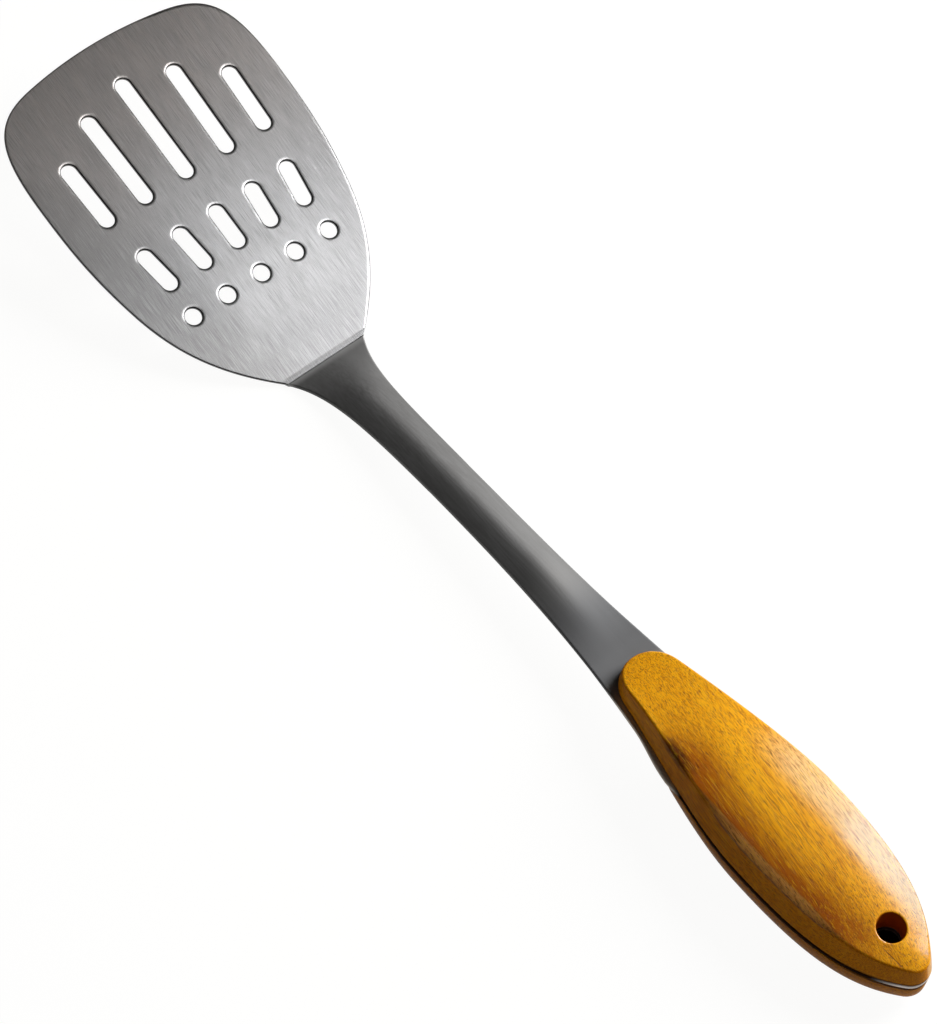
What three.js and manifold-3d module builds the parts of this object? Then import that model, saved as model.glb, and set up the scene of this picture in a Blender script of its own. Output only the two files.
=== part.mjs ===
// Slotted kitchen turner: a steel blade and shank with a wooden handle of two scales.
// Millimetres. X runs from the blade's tip to the butt, Z is up, and Y = 0 is the plane of symmetry.
// It lies as it does on a table, on the heel of the blade and on the belly of the lower scale.
import * as THREE from 'three';
import { mergeVertices } from 'three/addons/utils/BufferGeometryUtils.js';
import Module from 'manifold-3d';

const wasm = await Module();
wasm.setup();

const { degToRad, lerp, smoothstep } = THREE.MathUtils;

// Steel sheet
const SHEET_THICKNESS = 1.4;

// Blade, measured along its own face from the heel, where it bends up into the shank
const BLADE_PITCH = degToRad(16);
const HEEL_WIDTH = 27.6;
const SHOULDER_LENGTH = 41;
const SHOULDER_WIDTH = 77.7;
const SHOULDER_HEEL_PULL = [13.5, 15.3];
const SHOULDER_SIDE_PULL = [15, 3.25];
const WIDEST_FROM_HEEL = 81;
const SIDE_MARGIN = 14.4;
const CORNER_SIDE_PULL = 22;
const CORNER_FRONT_PULL = 14.4;
const FRONT_RADIUS = 135;
const FRONT_ARC_WIDTH = 48;
const FRONT_MARGIN = 13;

// Drain openings in the blade, in three rows from the heel to the tip
const HOLE_DIAMETER = 5.2;
const HOLE_PITCH = 12.3;
const HOLE_ROW_FROM_HEEL = 31.3;
const SLOT_WIDTH = 5;
const SHORT_SLOT_LENGTH = 14.8;
const SHORT_SLOT_PITCH = 12.5;
const SHORT_ROW_FROM_HOLES = 16.9;
const SHORT_SLOT_FAN = [0, 5.5, 8.2].map(degToRad);
const LONG_ROW_FROM_SHORT_ROW = 10.5;
const LONG_SLOT_LENGTHS = [35.5, 31.2, 22.2];
const LONG_SLOT_OFFSETS = [0, 14.7, 28.3];
const LONG_SLOT_FAN = [0, 1.4, 2.4].map(degToRad);

// Shank, from the heel to the flat tang
const SHANK_LENGTH = 126;
const SHANK_WIDTH = 13.3;
const HEEL_FLARE_FADE = 12;
const TANG_SPREAD_LENGTH = 42;
const SHANK_LIFT_AT_HEEL = [42, 8.4];
const SHANK_LIFT_AT_TANG = [34, 1.2];
const TANG_RISE = 11;
const ARCH_RISE = 2.6;
const ARCH_RIDGE = 0.45;
const ARCH_GROWTH = 32;
const ARCH_FADE = 36;
const ARCH_END_BEFORE_TANG = 8;

// Handle, measured from the front edge of its upper scale
const BARE_TANG_LENGTH = 5.8;
const HANDLE_LENGTH = 118.8;
const HANDLE_WIDTH = 36;
const HANDLE_WIDEST = 64;
const FRONT_ROUND_LENGTH = 9.2;
const FRONT_ROUND_WIDTH = 18.6;
const FRONT_ROUND_PULL = 5.2;
const FLANK_SLOPE = 0.16;
const FLANK_PULL = 17.5;
const REAR_PULL = 28;
const BUTT_RADIUS = 6;
const BUTT_TURN = degToRad(48);
const BUTT_PULL = 15;
const LOWER_SETBACK = 24;
const TANG_FLUSH_FROM = 26;
const GLUE_THICKNESS = 0.35;
const GLUE_RECESS = 0.5;

// Upper and lower scale
const UPPER_SIDE_HEIGHT = 9.3;
const UPPER_FRONT_LEAN = degToRad(5);
const UPPER_SIDE_LEAN = degToRad(10.8);
const UPPER_LEAN_FULL_FROM = 55;
const UPPER_CROWN_RISE = 2;
const LOWER_FRONT_SIDE_HEIGHT = 2.6;
const LOWER_BUTT_SIDE_HEIGHT = 5;
const LOWER_SIDE_LEAN = degToRad(3);
const FRONT_HEIGHT_LOSS = 0.56;
const FRONT_HEIGHT_FADE = 12.5;
const BUTT_HEIGHT_LOSS = 0.38;
const BUTT_FALL_LENGTH = 46;
const CROWN_END_PULL = 0.16;

// Hanging hole and blind pins
const HANGING_HOLE_DIAMETER = 8.2;
const HANGING_HOLE_FROM_BUTT = 14.8;
const PIN_DIAMETER = 4;
const PIN_DEPTH = 5;
const PIN_CLEARANCE = 0.3;
const FRONT_PIN_FROM_LOWER_SCALE_FRONT = 18;
const REAR_PIN_FROM_HANGING_HOLE = 26;

// Mesh resolution
const MERGE_DISTANCE = 1e-4;
const CURVE_STEPS = 10;
const ROUND_STEPS = 24;
const SHANK_STEPS = 28;
const BISECTION_STEPS = 40;
const SECTION_PLACES = [-1, -0.62, -0.36, -0.16, 0, 0.16, 0.36, 0.62, 1];
const CROWN_PLACES = [1, 0.93, 0.8, 0.6, 0.35, 0];

// Worked-out sizes
const shortRowFromHeel = HOLE_ROW_FROM_HEEL + SHORT_ROW_FROM_HOLES;
const longRowFromHeel = shortRowFromHeel + SHORT_SLOT_LENGTH / 2 + LONG_ROW_FROM_SHORT_ROW;
const bladeLength = longRowFromHeel + LONG_SLOT_LENGTHS[0] + FRONT_MARGIN;
const bladeHalfWidth = LONG_SLOT_OFFSETS[2] + SIDE_MARGIN;
const heelDrop = SHEET_THICKNESS / Math.cos(BLADE_PITCH);
const neckEnd = SHANK_LENGTH - TANG_SPREAD_LENGTH;
const archEnd = SHANK_LENGTH - ARCH_END_BEFORE_TANG;
const handleStart = SHANK_LENGTH + BARE_TANG_LENGTH;
const lowerDepth = TANG_RISE - SHEET_THICKNESS - GLUE_THICKNESS + heelDrop;
const hangingHolePlace = HANDLE_LENGTH - HANGING_HOLE_FROM_BUTT;
const pinHoleDiameter = PIN_DIAMETER + PIN_CLEARANCE * 2;
const pinPlaces = {
  front_pin: LOWER_SETBACK + FRONT_PIN_FROM_LOWER_SCALE_FRONT,
  rear_pin: hangingHolePlace - REAR_PIN_FROM_HANGING_HOLE,
};

const brushedSteel = new THREE.MeshStandardMaterial({ color: 0x9b9894, metalness: 0.95, roughness: 0.38 });
const satinSteel = new THREE.MeshStandardMaterial({ color: 0x73716f, metalness: 0.9, roughness: 0.5 });
const pinSteel = new THREE.MeshStandardMaterial({ color: 0xa5a5a5, metalness: 0.95, roughness: 0.4 });
const upperWood = new THREE.MeshStandardMaterial({ color: 0xd0922a, metalness: 0, roughness: 0.3 });
const lowerWood = new THREE.MeshStandardMaterial({ color: 0x6e4216, metalness: 0, roughness: 0.35 });
const darkGlue = new THREE.MeshStandardMaterial({ color: 0x1d0d05, metalness: 0, roughness: 0.6 });

function makeMesh(name, geometry, material) {
  const mesh = new THREE.Mesh(geometry, material);
  mesh.name = name;
  return mesh;
}

// Joins and cuts of closed meshes

function toSolid(geometry) {
  const bare = geometry.clone();
  bare.deleteAttribute('normal');
  bare.deleteAttribute('uv');
  const merged = mergeVertices(bare, MERGE_DISTANCE);
  const vertProperties = new Float32Array(merged.attributes.position.array);
  const triVerts = new Uint32Array(merged.index.array);
  return new wasm.Manifold(new wasm.Mesh({ numProp: 3, vertProperties, triVerts }));
}

function fromSolid(solid) {
  const { vertProperties, triVerts } = solid.getMesh();
  const geometry = new THREE.BufferGeometry();
  geometry.setAttribute('position', new THREE.BufferAttribute(new Float32Array(vertProperties), 3));
  geometry.setIndex(new THREE.BufferAttribute(new Uint32Array(triVerts), 1));
  geometry.computeVertexNormals();
  return geometry;
}

function cutHoles(geometry, holes) {
  let solid = toSolid(geometry);
  for (const hole of holes) {
    solid = solid.subtract(toSolid(hole));
  }
  return fromSolid(solid);
}

function uprightCylinder(x, diameter, bottom, top) {
  const radius = diameter / 2;
  const geometry = new THREE.CylinderGeometry(radius, radius, top - bottom, ROUND_STEPS);
  geometry.rotateX(Math.PI / 2);
  geometry.translate(x, 0, (bottom + top) / 2);
  return geometry;
}

function closedGeometry(points, triangles) {
  const geometry = new THREE.BufferGeometry();
  geometry.setFromPoints(points);
  geometry.setIndex(triangles);
  geometry.computeVertexNormals();
  return geometry;
}

// Blade: a flat sheet with a curved front edge, rounded shoulders and three rows of drain openings

function bladeOutline() {
  const heelHalf = HEEL_WIDTH / 2;
  const shoulderHalf = SHOULDER_WIDTH / 2;
  const arcHalf = FRONT_ARC_WIDTH / 2;
  const arcAngle = Math.asin(arcHalf / FRONT_RADIUS);
  const arcCentre = FRONT_RADIUS - bladeLength;
  const arcEnd = arcCentre - FRONT_RADIUS * Math.cos(arcAngle);
  const arcPull = [Math.sin(arcAngle) * CORNER_FRONT_PULL, Math.cos(arcAngle) * CORNER_FRONT_PULL];
  const shape = new THREE.Shape();
  shape.moveTo(0, heelHalf);
  shape.bezierCurveTo(
    -SHOULDER_HEEL_PULL[0], heelHalf + SHOULDER_HEEL_PULL[1],
    -SHOULDER_LENGTH + SHOULDER_SIDE_PULL[0], shoulderHalf - SHOULDER_SIDE_PULL[1],
    -SHOULDER_LENGTH, shoulderHalf);
  shape.bezierCurveTo(
    -SHOULDER_LENGTH - SHOULDER_SIDE_PULL[0], shoulderHalf + SHOULDER_SIDE_PULL[1],
    -WIDEST_FROM_HEEL + SHOULDER_SIDE_PULL[0], bladeHalfWidth,
    -WIDEST_FROM_HEEL, bladeHalfWidth);
  shape.bezierCurveTo(
    -WIDEST_FROM_HEEL - CORNER_SIDE_PULL, bladeHalfWidth,
    arcEnd + arcPull[0], arcHalf + arcPull[1],
    arcEnd, arcHalf);
  shape.absarc(arcCentre, 0, FRONT_RADIUS, Math.PI - arcAngle, Math.PI + arcAngle, false);
  shape.bezierCurveTo(
    arcEnd + arcPull[0], -arcHalf - arcPull[1],
    -WIDEST_FROM_HEEL - CORNER_SIDE_PULL, -bladeHalfWidth,
    -WIDEST_FROM_HEEL, -bladeHalfWidth);
  shape.bezierCurveTo(
    -WIDEST_FROM_HEEL + SHOULDER_SIDE_PULL[0], -bladeHalfWidth,
    -SHOULDER_LENGTH - SHOULDER_SIDE_PULL[0], -shoulderHalf - SHOULDER_SIDE_PULL[1],
    -SHOULDER_LENGTH, -shoulderHalf);
  shape.bezierCurveTo(
    -SHOULDER_LENGTH + SHOULDER_SIDE_PULL[0], -shoulderHalf + SHOULDER_SIDE_PULL[1],
    -SHOULDER_HEEL_PULL[0], -heelHalf - SHOULDER_HEEL_PULL[1],
    0, -heelHalf);
  return shape;
}

// A slot with round ends. Its heel end touches the given place, and it leans outwards by the fan angle.
function slotPath(heelEnd, offset, length, fan) {
  const radius = SLOT_WIDTH / 2;
  const run = length - SLOT_WIDTH;
  const near = new THREE.Vector2(heelEnd - radius, offset);
  const far = new THREE.Vector2(near.x - run * Math.cos(fan), near.y + run * Math.sin(fan));
  const path = new THREE.Path();
  path.absarc(near.x, near.y, radius, -Math.PI / 2 - fan, Math.PI / 2 - fan, false);
  path.absarc(far.x, far.y, radius, Math.PI / 2 - fan, Math.PI * 1.5 - fan, false);
  return path;
}

function drainOpenings() {
  const openings = [];
  for (const place of [-2, -1, 0, 1, 2]) {
    const side = Math.sign(place);
    const step = Math.abs(place);
    const hole = new THREE.Path();
    hole.absarc(-HOLE_ROW_FROM_HEEL, place * HOLE_PITCH, HOLE_DIAMETER / 2, 0, Math.PI * 2, false);
    const shortFan = side * SHORT_SLOT_FAN[step];
    const shortSpan = SHORT_SLOT_LENGTH / 2 - SLOT_WIDTH / 2;
    const shortEnd = -shortRowFromHeel + shortSpan * Math.cos(shortFan) + SLOT_WIDTH / 2;
    const shortOffset = place * SHORT_SLOT_PITCH - shortSpan * Math.sin(shortFan);
    const longOffset = side * LONG_SLOT_OFFSETS[step];
    openings.push(
      hole,
      slotPath(shortEnd, shortOffset, SHORT_SLOT_LENGTH, shortFan),
      slotPath(-longRowFromHeel, longOffset, LONG_SLOT_LENGTHS[step], side * LONG_SLOT_FAN[step]));
  }
  return openings;
}

// The lower edge of the heel reaches a little further than the upper one, so that the pitched sheet
// meets the shank on an upright face.
function mitreHeel(geometry) {
  const position = geometry.attributes.position;
  const reach = SHEET_THICKNESS * Math.tan(BLADE_PITCH);
  for (let i = 0; i < position.count; i += 1) {
    if (position.getX(i) > -MERGE_DISTANCE && position.getZ(i) < -SHEET_THICKNESS / 2) {
      position.setX(i, reach);
    }
  }
}

function buildBlade() {
  const shape = bladeOutline();
  shape.holes.push(...drainOpenings());
  const geometry = new THREE.ExtrudeGeometry(shape, {
    depth: SHEET_THICKNESS,
    bevelEnabled: false,
    curveSegments: CURVE_STEPS,
  });
  geometry.translate(0, 0, -SHEET_THICKNESS);
  mitreHeel(geometry);
  const blade = makeMesh('blade', geometry, brushedSteel);
  blade.rotation.y = BLADE_PITCH;
  return blade;
}

// Plan of the handle: one half of the outline, from the front edge to the butt

function handleFlank() {
  const buttCentre = HANDLE_LENGTH - BUTT_RADIUS;
  const turnX = buttCentre + BUTT_RADIUS * Math.cos(BUTT_TURN);
  const turnY = BUTT_RADIUS * Math.sin(BUTT_TURN);
  const path = new THREE.Path();
  path.moveTo(FRONT_ROUND_LENGTH, FRONT_ROUND_WIDTH / 2);
  path.bezierCurveTo(
    FRONT_ROUND_LENGTH + FLANK_PULL, FRONT_ROUND_WIDTH / 2 + FLANK_PULL * FLANK_SLOPE,
    HANDLE_WIDEST - FLANK_PULL, HANDLE_WIDTH / 2,
    HANDLE_WIDEST, HANDLE_WIDTH / 2);
  path.bezierCurveTo(
    HANDLE_WIDEST + REAR_PULL, HANDLE_WIDTH / 2,
    turnX - BUTT_PULL * Math.sin(BUTT_TURN), turnY + BUTT_PULL * Math.cos(BUTT_TURN),
    turnX, turnY);
  path.absarc(buttCentre, 0, BUTT_RADIUS, BUTT_TURN, 0, true);
  return path.getPoints(CURVE_STEPS);
}

const flank = handleFlank();

// A scale's half outline: a round front edge, set back from the handle's front, that runs into the flank
function scaleHalfOutline(setback) {
  const side = flank.filter((point) => point.x >= setback + FRONT_ROUND_LENGTH);
  const [join, next] = side;
  const slope = (next.y - join.y) / (next.x - join.x);
  const front = new THREE.CubicBezierCurve(
    new THREE.Vector2(setback, 0),
    new THREE.Vector2(setback, FRONT_ROUND_PULL),
    new THREE.Vector2(join.x - FRONT_ROUND_PULL, join.y - FRONT_ROUND_PULL * slope),
    join);
  return [...front.getPoints(CURVE_STEPS), ...side.slice(1)];
}

// The whole outline, anticlockwise from the butt
function scaleOutline(setback) {
  const half = scaleHalfOutline(setback);
  const mirrored = half.slice(1, -1).map((point) => new THREE.Vector2(point.x, -point.y));
  return [...half.reverse(), ...mirrored];
}

function insetPoint(loop, index, inset) {
  const before = loop[(index + loop.length - 1) % loop.length];
  const after = loop[(index + 1) % loop.length];
  const along = after.clone().sub(before).normalize();
  return new THREE.Vector2(loop[index].x - along.y * inset, loop[index].y + along.x * inset);
}

// Shank and tang: one bar whose section changes from flat at the heel to an arch and back to the flat tang

function shankStations() {
  const stations = [];
  const neckHalf = SHANK_WIDTH / 2;
  for (let i = 0; i < SHANK_STEPS; i += 1) {
    const x = (neckEnd * i) / SHANK_STEPS;
    const flare = (HEEL_WIDTH / 2 - neckHalf) * Math.exp(-x / HEEL_FLARE_FADE);
    stations.push(new THREE.Vector2(x, neckHalf + flare));
  }
  const tang = flank.map((point) => new THREE.Vector2(point.x + handleStart, point.y));
  const flush = tang.filter((point) => point.x > handleStart + TANG_FLUSH_FROM);
  const flushSlope = (flush[1].y - flush[0].y) / (flush[1].x - flush[0].x);
  const widening = (flush[0].x - neckEnd) / 3;
  const spread = new THREE.CubicBezierCurve(
    new THREE.Vector2(neckEnd, neckHalf),
    new THREE.Vector2(neckEnd + widening, neckHalf),
    new THREE.Vector2(flush[0].x - widening, flush[0].y - widening * flushSlope),
    flush[0]);
  stations.push(...spread.getPoints(CURVE_STEPS), ...flush.slice(1, -1));
  return stations;
}

const shankLift = new THREE.CubicBezierCurve(
  new THREE.Vector2(0, 0),
  new THREE.Vector2(SHANK_LIFT_AT_HEEL[0], SHANK_LIFT_AT_HEEL[1]),
  new THREE.Vector2(SHANK_LENGTH - SHANK_LIFT_AT_TANG[0], TANG_RISE - SHANK_LIFT_AT_TANG[1]),
  new THREE.Vector2(SHANK_LENGTH, TANG_RISE));

// Height of the shank's top edges above the heel's crease
function shankHeight(x) {
  if (x >= SHANK_LENGTH) {
    return TANG_RISE;
  }
  let low = 0;
  let high = 1;
  for (let i = 0; i < BISECTION_STEPS; i += 1) {
    const middle = (low + high) / 2;
    if (shankLift.getPoint(middle).x < x) {
      low = middle;
    } else {
      high = middle;
    }
  }
  return shankLift.getPoint(low).y;
}

function archHeight(x, place) {
  const full = smoothstep(x, 0, ARCH_GROWTH) * (1 - smoothstep(x, archEnd - ARCH_FADE, archEnd));
  const ridge = (Math.hypot(place, ARCH_RIDGE) - ARCH_RIDGE) / (Math.hypot(1, ARCH_RIDGE) - ARCH_RIDGE);
  return ARCH_RISE * full * (1 - ridge);
}

function shankSection({ x, y: halfWidth }) {
  const thickness = lerp(heelDrop, SHEET_THICKNESS, smoothstep(x, 0, ARCH_GROWTH));
  const base = shankHeight(x);
  const top = SECTION_PLACES.map((place) => (
    new THREE.Vector3(x, place * halfWidth, base + archHeight(x, place))));
  const bottom = top.map((point) => new THREE.Vector3(x, point.y, point.z - thickness));
  return [...top, ...bottom.reverse()];
}

// A closed body through sections of equal point count, each a top row and a returning bottom row
function loftSections(sections) {
  const count = sections[0].length;
  const triangles = [];
  for (let s = 0; s + 1 < sections.length; s += 1) {
    for (let i = 0; i < count; i += 1) {
      const here = s * count + i;
      const next = s * count + ((i + 1) % count);
      triangles.push(here, here + count, next, next, here + count, next + count);
    }
  }
  const last = (sections.length - 1) * count;
  for (let i = 0; i + 1 < count / 2; i += 1) {
    const under = count - 1 - i;
    triangles.push(i, i + 1, under, i + 1, under - 1, under);
    triangles.push(last + i, last + under, last + i + 1, last + i + 1, last + under, last + under - 1);
  }
  return closedGeometry(sections.flat(), triangles);
}

function buildShank() {
  const body = loftSections(shankStations().map(shankSection));
  const bottom = TANG_RISE - SHEET_THICKNESS * 2;
  const top = TANG_RISE + SHEET_THICKNESS;
  const holes = Object.values(pinPlaces).map((place) => (
    uprightCylinder(handleStart + place, pinHoleDiameter, bottom, top)));
  holes.push(uprightCylinder(handleStart + hangingHolePlace, HANGING_HOLE_DIAMETER, bottom, top));
  return makeMesh('shank_and_tang', cutHoles(body, holes), satinSteel);
}

// Scales: slabs on the tang with leaning sides and a crowned face, thinner at the front and at the butt

function heightShare(x, setback) {
  const front = FRONT_HEIGHT_LOSS * Math.exp((setback - x) / FRONT_HEIGHT_FADE);
  const fall = Math.max(0, (x - HANDLE_LENGTH + BUTT_FALL_LENGTH) / BUTT_FALL_LENGTH);
  return 1 - front - BUTT_HEIGHT_LOSS * fall * fall;
}

function scaleGeometry({ setback, sideLean, sideHeight, crownHeight, crownShape }) {
  const loop = scaleOutline(setback);
  const count = loop.length;
  const points = loop.map((point) => new THREE.Vector3(point.x, point.y, 0));
  for (const place of CROWN_PLACES) {
    loop.forEach((point, index) => {
      const inset = insetPoint(loop, index, sideHeight(point.x) * Math.tan(sideLean(point.x)));
      const x = lerp(inset.x, HANDLE_WIDEST, CROWN_END_PULL * (1 - place));
      const height = sideHeight(x) + crownHeight(x) * crownShape(place);
      points.push(new THREE.Vector3(x, inset.y * place, height));
    });
  }
  loop.forEach((point) => {
    const x = lerp(point.x, HANDLE_WIDEST, CROWN_END_PULL);
    points.push(new THREE.Vector3(x, 0, 0));
  });
  const triangles = [];
  const addBand = (lower, upper) => {
    for (let i = 0; i < count; i += 1) {
      const j = (i + 1) % count;
      const corners = [lower * count + i, lower * count + j, upper * count + j, upper * count + i];
      triangles.push(corners[0], corners[1], corners[2], corners[0], corners[2], corners[3]);
    }
  };
  const rings = CROWN_PLACES.length;
  for (let ring = 0; ring < rings; ring += 1) {
    addBand(ring, ring + 1);
  }
  addBand(rings + 1, 0);
  return closedGeometry(points, triangles);
}

// The blind holes and the hanging hole, made in the slab before it is set on the tang
function drillScale(geometry, fullHeight) {
  const holes = Object.values(pinPlaces).map((place) => (
    uprightCylinder(place, pinHoleDiameter, -PIN_DEPTH, PIN_DEPTH + PIN_CLEARANCE)));
  holes.push(uprightCylinder(hangingHolePlace, HANGING_HOLE_DIAMETER, -fullHeight, fullHeight * 2));
  return cutHoles(geometry, holes);
}

function upperSideLean(x) {
  return lerp(UPPER_FRONT_LEAN, UPPER_SIDE_LEAN, smoothstep(x, 0, UPPER_LEAN_FULL_FROM));
}

function buildUpperScale() {
  const slab = scaleGeometry({
    setback: 0,
    sideLean: upperSideLean,
    sideHeight: (x) => UPPER_SIDE_HEIGHT * heightShare(x, 0),
    crownHeight: (x) => UPPER_CROWN_RISE * heightShare(x, 0),
    crownShape: (place) => 1 - place * place,
  });
  const scale = makeMesh('upper_scale', drillScale(slab, UPPER_SIDE_HEIGHT + UPPER_CROWN_RISE), upperWood);
  scale.position.z = GLUE_THICKNESS;
  return scale;
}

function lowerSideHeight(x) {
  return lerp(LOWER_FRONT_SIDE_HEIGHT, LOWER_BUTT_SIDE_HEIGHT, x / HANDLE_LENGTH);
}

function buildLowerScale() {
  const slab = scaleGeometry({
    setback: LOWER_SETBACK,
    sideLean: () => LOWER_SIDE_LEAN,
    sideHeight: lowerSideHeight,
    crownHeight: (x) => (lowerDepth - lowerSideHeight(x)) * heightShare(x, LOWER_SETBACK),
    crownShape: (place) => Math.sqrt(1 - place * place),
  });
  const scale = makeMesh('lower_scale', drillScale(slab, lowerDepth), lowerWood);
  scale.rotation.x = Math.PI;
  scale.position.z = -SHEET_THICKNESS - GLUE_THICKNESS;
  return scale;
}

// Glue lines: thin dark films between tang and scales, a little shy of the outline

function buildGlueLine(name, bottom, setback) {
  const loop = scaleOutline(setback);
  const shape = new THREE.Shape(loop.map((point, index) => insetPoint(loop, index, GLUE_RECESS)));
  const addHole = (x, diameter) => {
    const hole = new THREE.Path();
    hole.absarc(x, 0, diameter / 2, 0, Math.PI * 2, false);
    shape.holes.push(hole);
  };
  Object.values(pinPlaces).forEach((place) => addHole(place, pinHoleDiameter));
  addHole(hangingHolePlace, HANGING_HOLE_DIAMETER);
  const geometry = new THREE.ExtrudeGeometry(shape, {
    depth: GLUE_THICKNESS,
    bevelEnabled: false,
    curveSegments: ROUND_STEPS,
  });
  const line = makeMesh(name, geometry, darkGlue);
  line.position.z = bottom;
  return line;
}

function buildPin(name, place) {
  const reach = GLUE_THICKNESS + PIN_DEPTH;
  return makeMesh(name, uprightCylinder(place, PIN_DIAMETER, -SHEET_THICKNESS - reach, reach), pinSteel);
}

// Assembly, with the origin on the table below the middle of the length

const handle = new THREE.Group();
handle.name = 'handle';
handle.position.set(handleStart, 0, TANG_RISE);
handle.add(buildUpperScale(), buildLowerScale());
handle.add(buildGlueLine('upper_glue_line', 0, 0));
handle.add(buildGlueLine('lower_glue_line', -SHEET_THICKNESS - GLUE_THICKNESS, LOWER_SETBACK));
for (const [name, place] of Object.entries(pinPlaces)) {
  handle.add(buildPin(name, place));
}

const spatula = new THREE.Group();
spatula.name = 'spatula';
spatula.add(buildBlade(), buildShank(), handle);

const box = new THREE.Box3().setFromObject(spatula);
spatula.position.set(-(box.min.x + box.max.x) / 2, 0, -box.min.z);

export default spatula;
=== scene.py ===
# %% [markdown]
# # A slotted kitchen turner
# The tool is a steel blade with drain openings, a satin steel shank that runs on as a tang, and a wooden
# handle of two halves glued to that tang. The measured solids are loaded first and never moved. Each cell
# then makes one piece or one finish, so that the cells can be run and looked at one by one.

# %% Load the measured solids
import math

import bmesh
import bpy
import numpy as np
from mathutils import Matrix, Quaternion, Vector, kdtree
from mathutils.geometry import delaunay_2d_cdt


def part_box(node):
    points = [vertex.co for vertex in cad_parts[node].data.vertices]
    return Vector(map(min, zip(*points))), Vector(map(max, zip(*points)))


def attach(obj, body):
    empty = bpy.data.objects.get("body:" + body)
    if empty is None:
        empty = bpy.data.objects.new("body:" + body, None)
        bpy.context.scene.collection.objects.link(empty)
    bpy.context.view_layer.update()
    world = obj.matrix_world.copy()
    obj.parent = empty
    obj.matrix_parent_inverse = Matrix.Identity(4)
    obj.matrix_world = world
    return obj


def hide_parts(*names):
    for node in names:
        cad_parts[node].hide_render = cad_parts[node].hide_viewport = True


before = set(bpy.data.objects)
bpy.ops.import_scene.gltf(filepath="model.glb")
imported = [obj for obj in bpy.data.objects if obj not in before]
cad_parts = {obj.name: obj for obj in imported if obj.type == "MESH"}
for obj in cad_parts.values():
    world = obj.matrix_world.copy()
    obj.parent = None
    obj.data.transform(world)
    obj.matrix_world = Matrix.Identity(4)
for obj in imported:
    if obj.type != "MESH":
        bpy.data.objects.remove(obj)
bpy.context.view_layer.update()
scene = bpy.context.scene
MM = 0.001
print("solids:", sorted(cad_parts))

# %% [markdown]
# ## The camera
# The picture is taken from above the right side of the handle, through a long lens that hardly widens what is
# near. A camera could be turned by three angles, but those are hard to judge by eye. Here it is aimed at a
# point on the tool and then rolled about its own line of sight, as a photographer tilts a tripod head.

# %% Place and aim the camera
LENS_MM = 139.87
SENSOR_MM = 36.0
CAMERA_PLACE = Vector((386.80, -400.33, 965.48)) * MM
CAMERA_TARGET = Vector((-2.73, -3.33, 10.0)) * MM
CAMERA_ROLL = math.radians(6.96)

camera_data = bpy.data.cameras.new("photo_camera")
camera_data.lens = LENS_MM
camera_data.sensor_width = SENSOR_MM
camera = bpy.data.objects.new("photo_camera", camera_data)
scene.collection.objects.link(camera)
aim = (CAMERA_TARGET - CAMERA_PLACE).to_track_quat("-Z", "Y")
camera.matrix_world = Matrix.Translation(CAMERA_PLACE) @ (
    aim @ Quaternion((0.0, 0.0, 1.0), CAMERA_ROLL)).to_matrix().to_4x4()
scene.camera = camera
scene.view_settings.view_transform = "Standard"
print("camera is", round((CAMERA_TARGET - CAMERA_PLACE).length, 3), "m from the tool")

# %% [markdown]
# ## Building materials from nodes
# Every finish below is a small net of nodes. Placing and joining nodes by hand takes four lines each time, so
# a few helpers do it: one adds a node and fills its inputs, and the others wrap the kinds used most. A finish
# then reads like a recipe: a first tone, and layers of colour over it, each laid on by a share from 0 to 1.

# %% Add and join nodes
def feed(tree, target, inputs):
    """Fills a node's inputs. Each takes a plain value, or another node's output to join to it."""
    for name, value in inputs.items():
        if isinstance(value, bpy.types.NodeSocket):
            tree.links.new(value, target.inputs[name])
        else:
            target.inputs[name].default_value = value


def node(tree, kind, inputs=None, **settings):
    """Adds a node with these inputs and settings."""
    made = tree.nodes.new(kind)
    for name, value in settings.items():
        setattr(made, name, value)
    feed(tree, made, inputs or {})
    return made


def calculate(tree, operation, first, second):
    """One sum on two numbers or outputs."""
    return node(tree, "ShaderNodeMath", {0: first, 1: second}, operation=operation).outputs[0]


def times(tree, first, second):
    """A number or output times another, such as a share of a share."""
    return calculate(tree, "MULTIPLY", first, second)


def spread(tree, value, low, high, new_low=0.0, new_high=1.0):
    """Maps low..high to new_low..new_high with soft ends, and holds the ends outside."""
    inputs = {"Value": value, "From Min": low, "From Max": high, "To Min": new_low, "To Max": new_high}
    return node(tree, "ShaderNodeMapRange", inputs, interpolation_type="SMOOTHSTEP").outputs[0]


def axes(tree, place):
    """The outputs X, Y and Z of a place or a direction."""
    return node(tree, "ShaderNodeSeparateXYZ", {0: place}).outputs


print("helpers to add and join nodes are ready")

# %% Lay colours over each other
# The mix node has sockets for several kinds of value. These are the numbers of those for colours.
MIX_SHARE, MIX_UNDER, MIX_OVER, MIX_COLOUR = 0, 6, 7, 2


def opaque(colour):
    """A colour of three numbers, with full cover added. An output stays as it is."""
    return (*colour, 1.0) if isinstance(colour, tuple) else colour


def blend(tree, share, under, over):
    """Lays one colour over another by a share."""
    inputs = {MIX_SHARE: share, MIX_UNDER: opaque(under), MIX_OVER: opaque(over)}
    return node(tree, "ShaderNodeMix", inputs, data_type="RGBA").outputs[MIX_COLOUR]


def layered(tree, tone, *layers):
    """Lays colours over a tone, one after the other. A layer is a share and a colour."""
    for share, colour in layers:
        tone = blend(tree, share, tone, colour)
    return tone


print("white with full cover is", opaque((1.0, 1.0, 1.0)))

# %% Start a material
RELIEF_DEPTH = 0.1 * MM


def relief(tree, height, strength):
    """Fine ups and downs of the surface that only the light shows."""
    inputs = {"Height": height, "Strength": strength, "Distance": RELIEF_DEPTH}
    return node(tree, "ShaderNodeBump", inputs).outputs[0]


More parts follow.
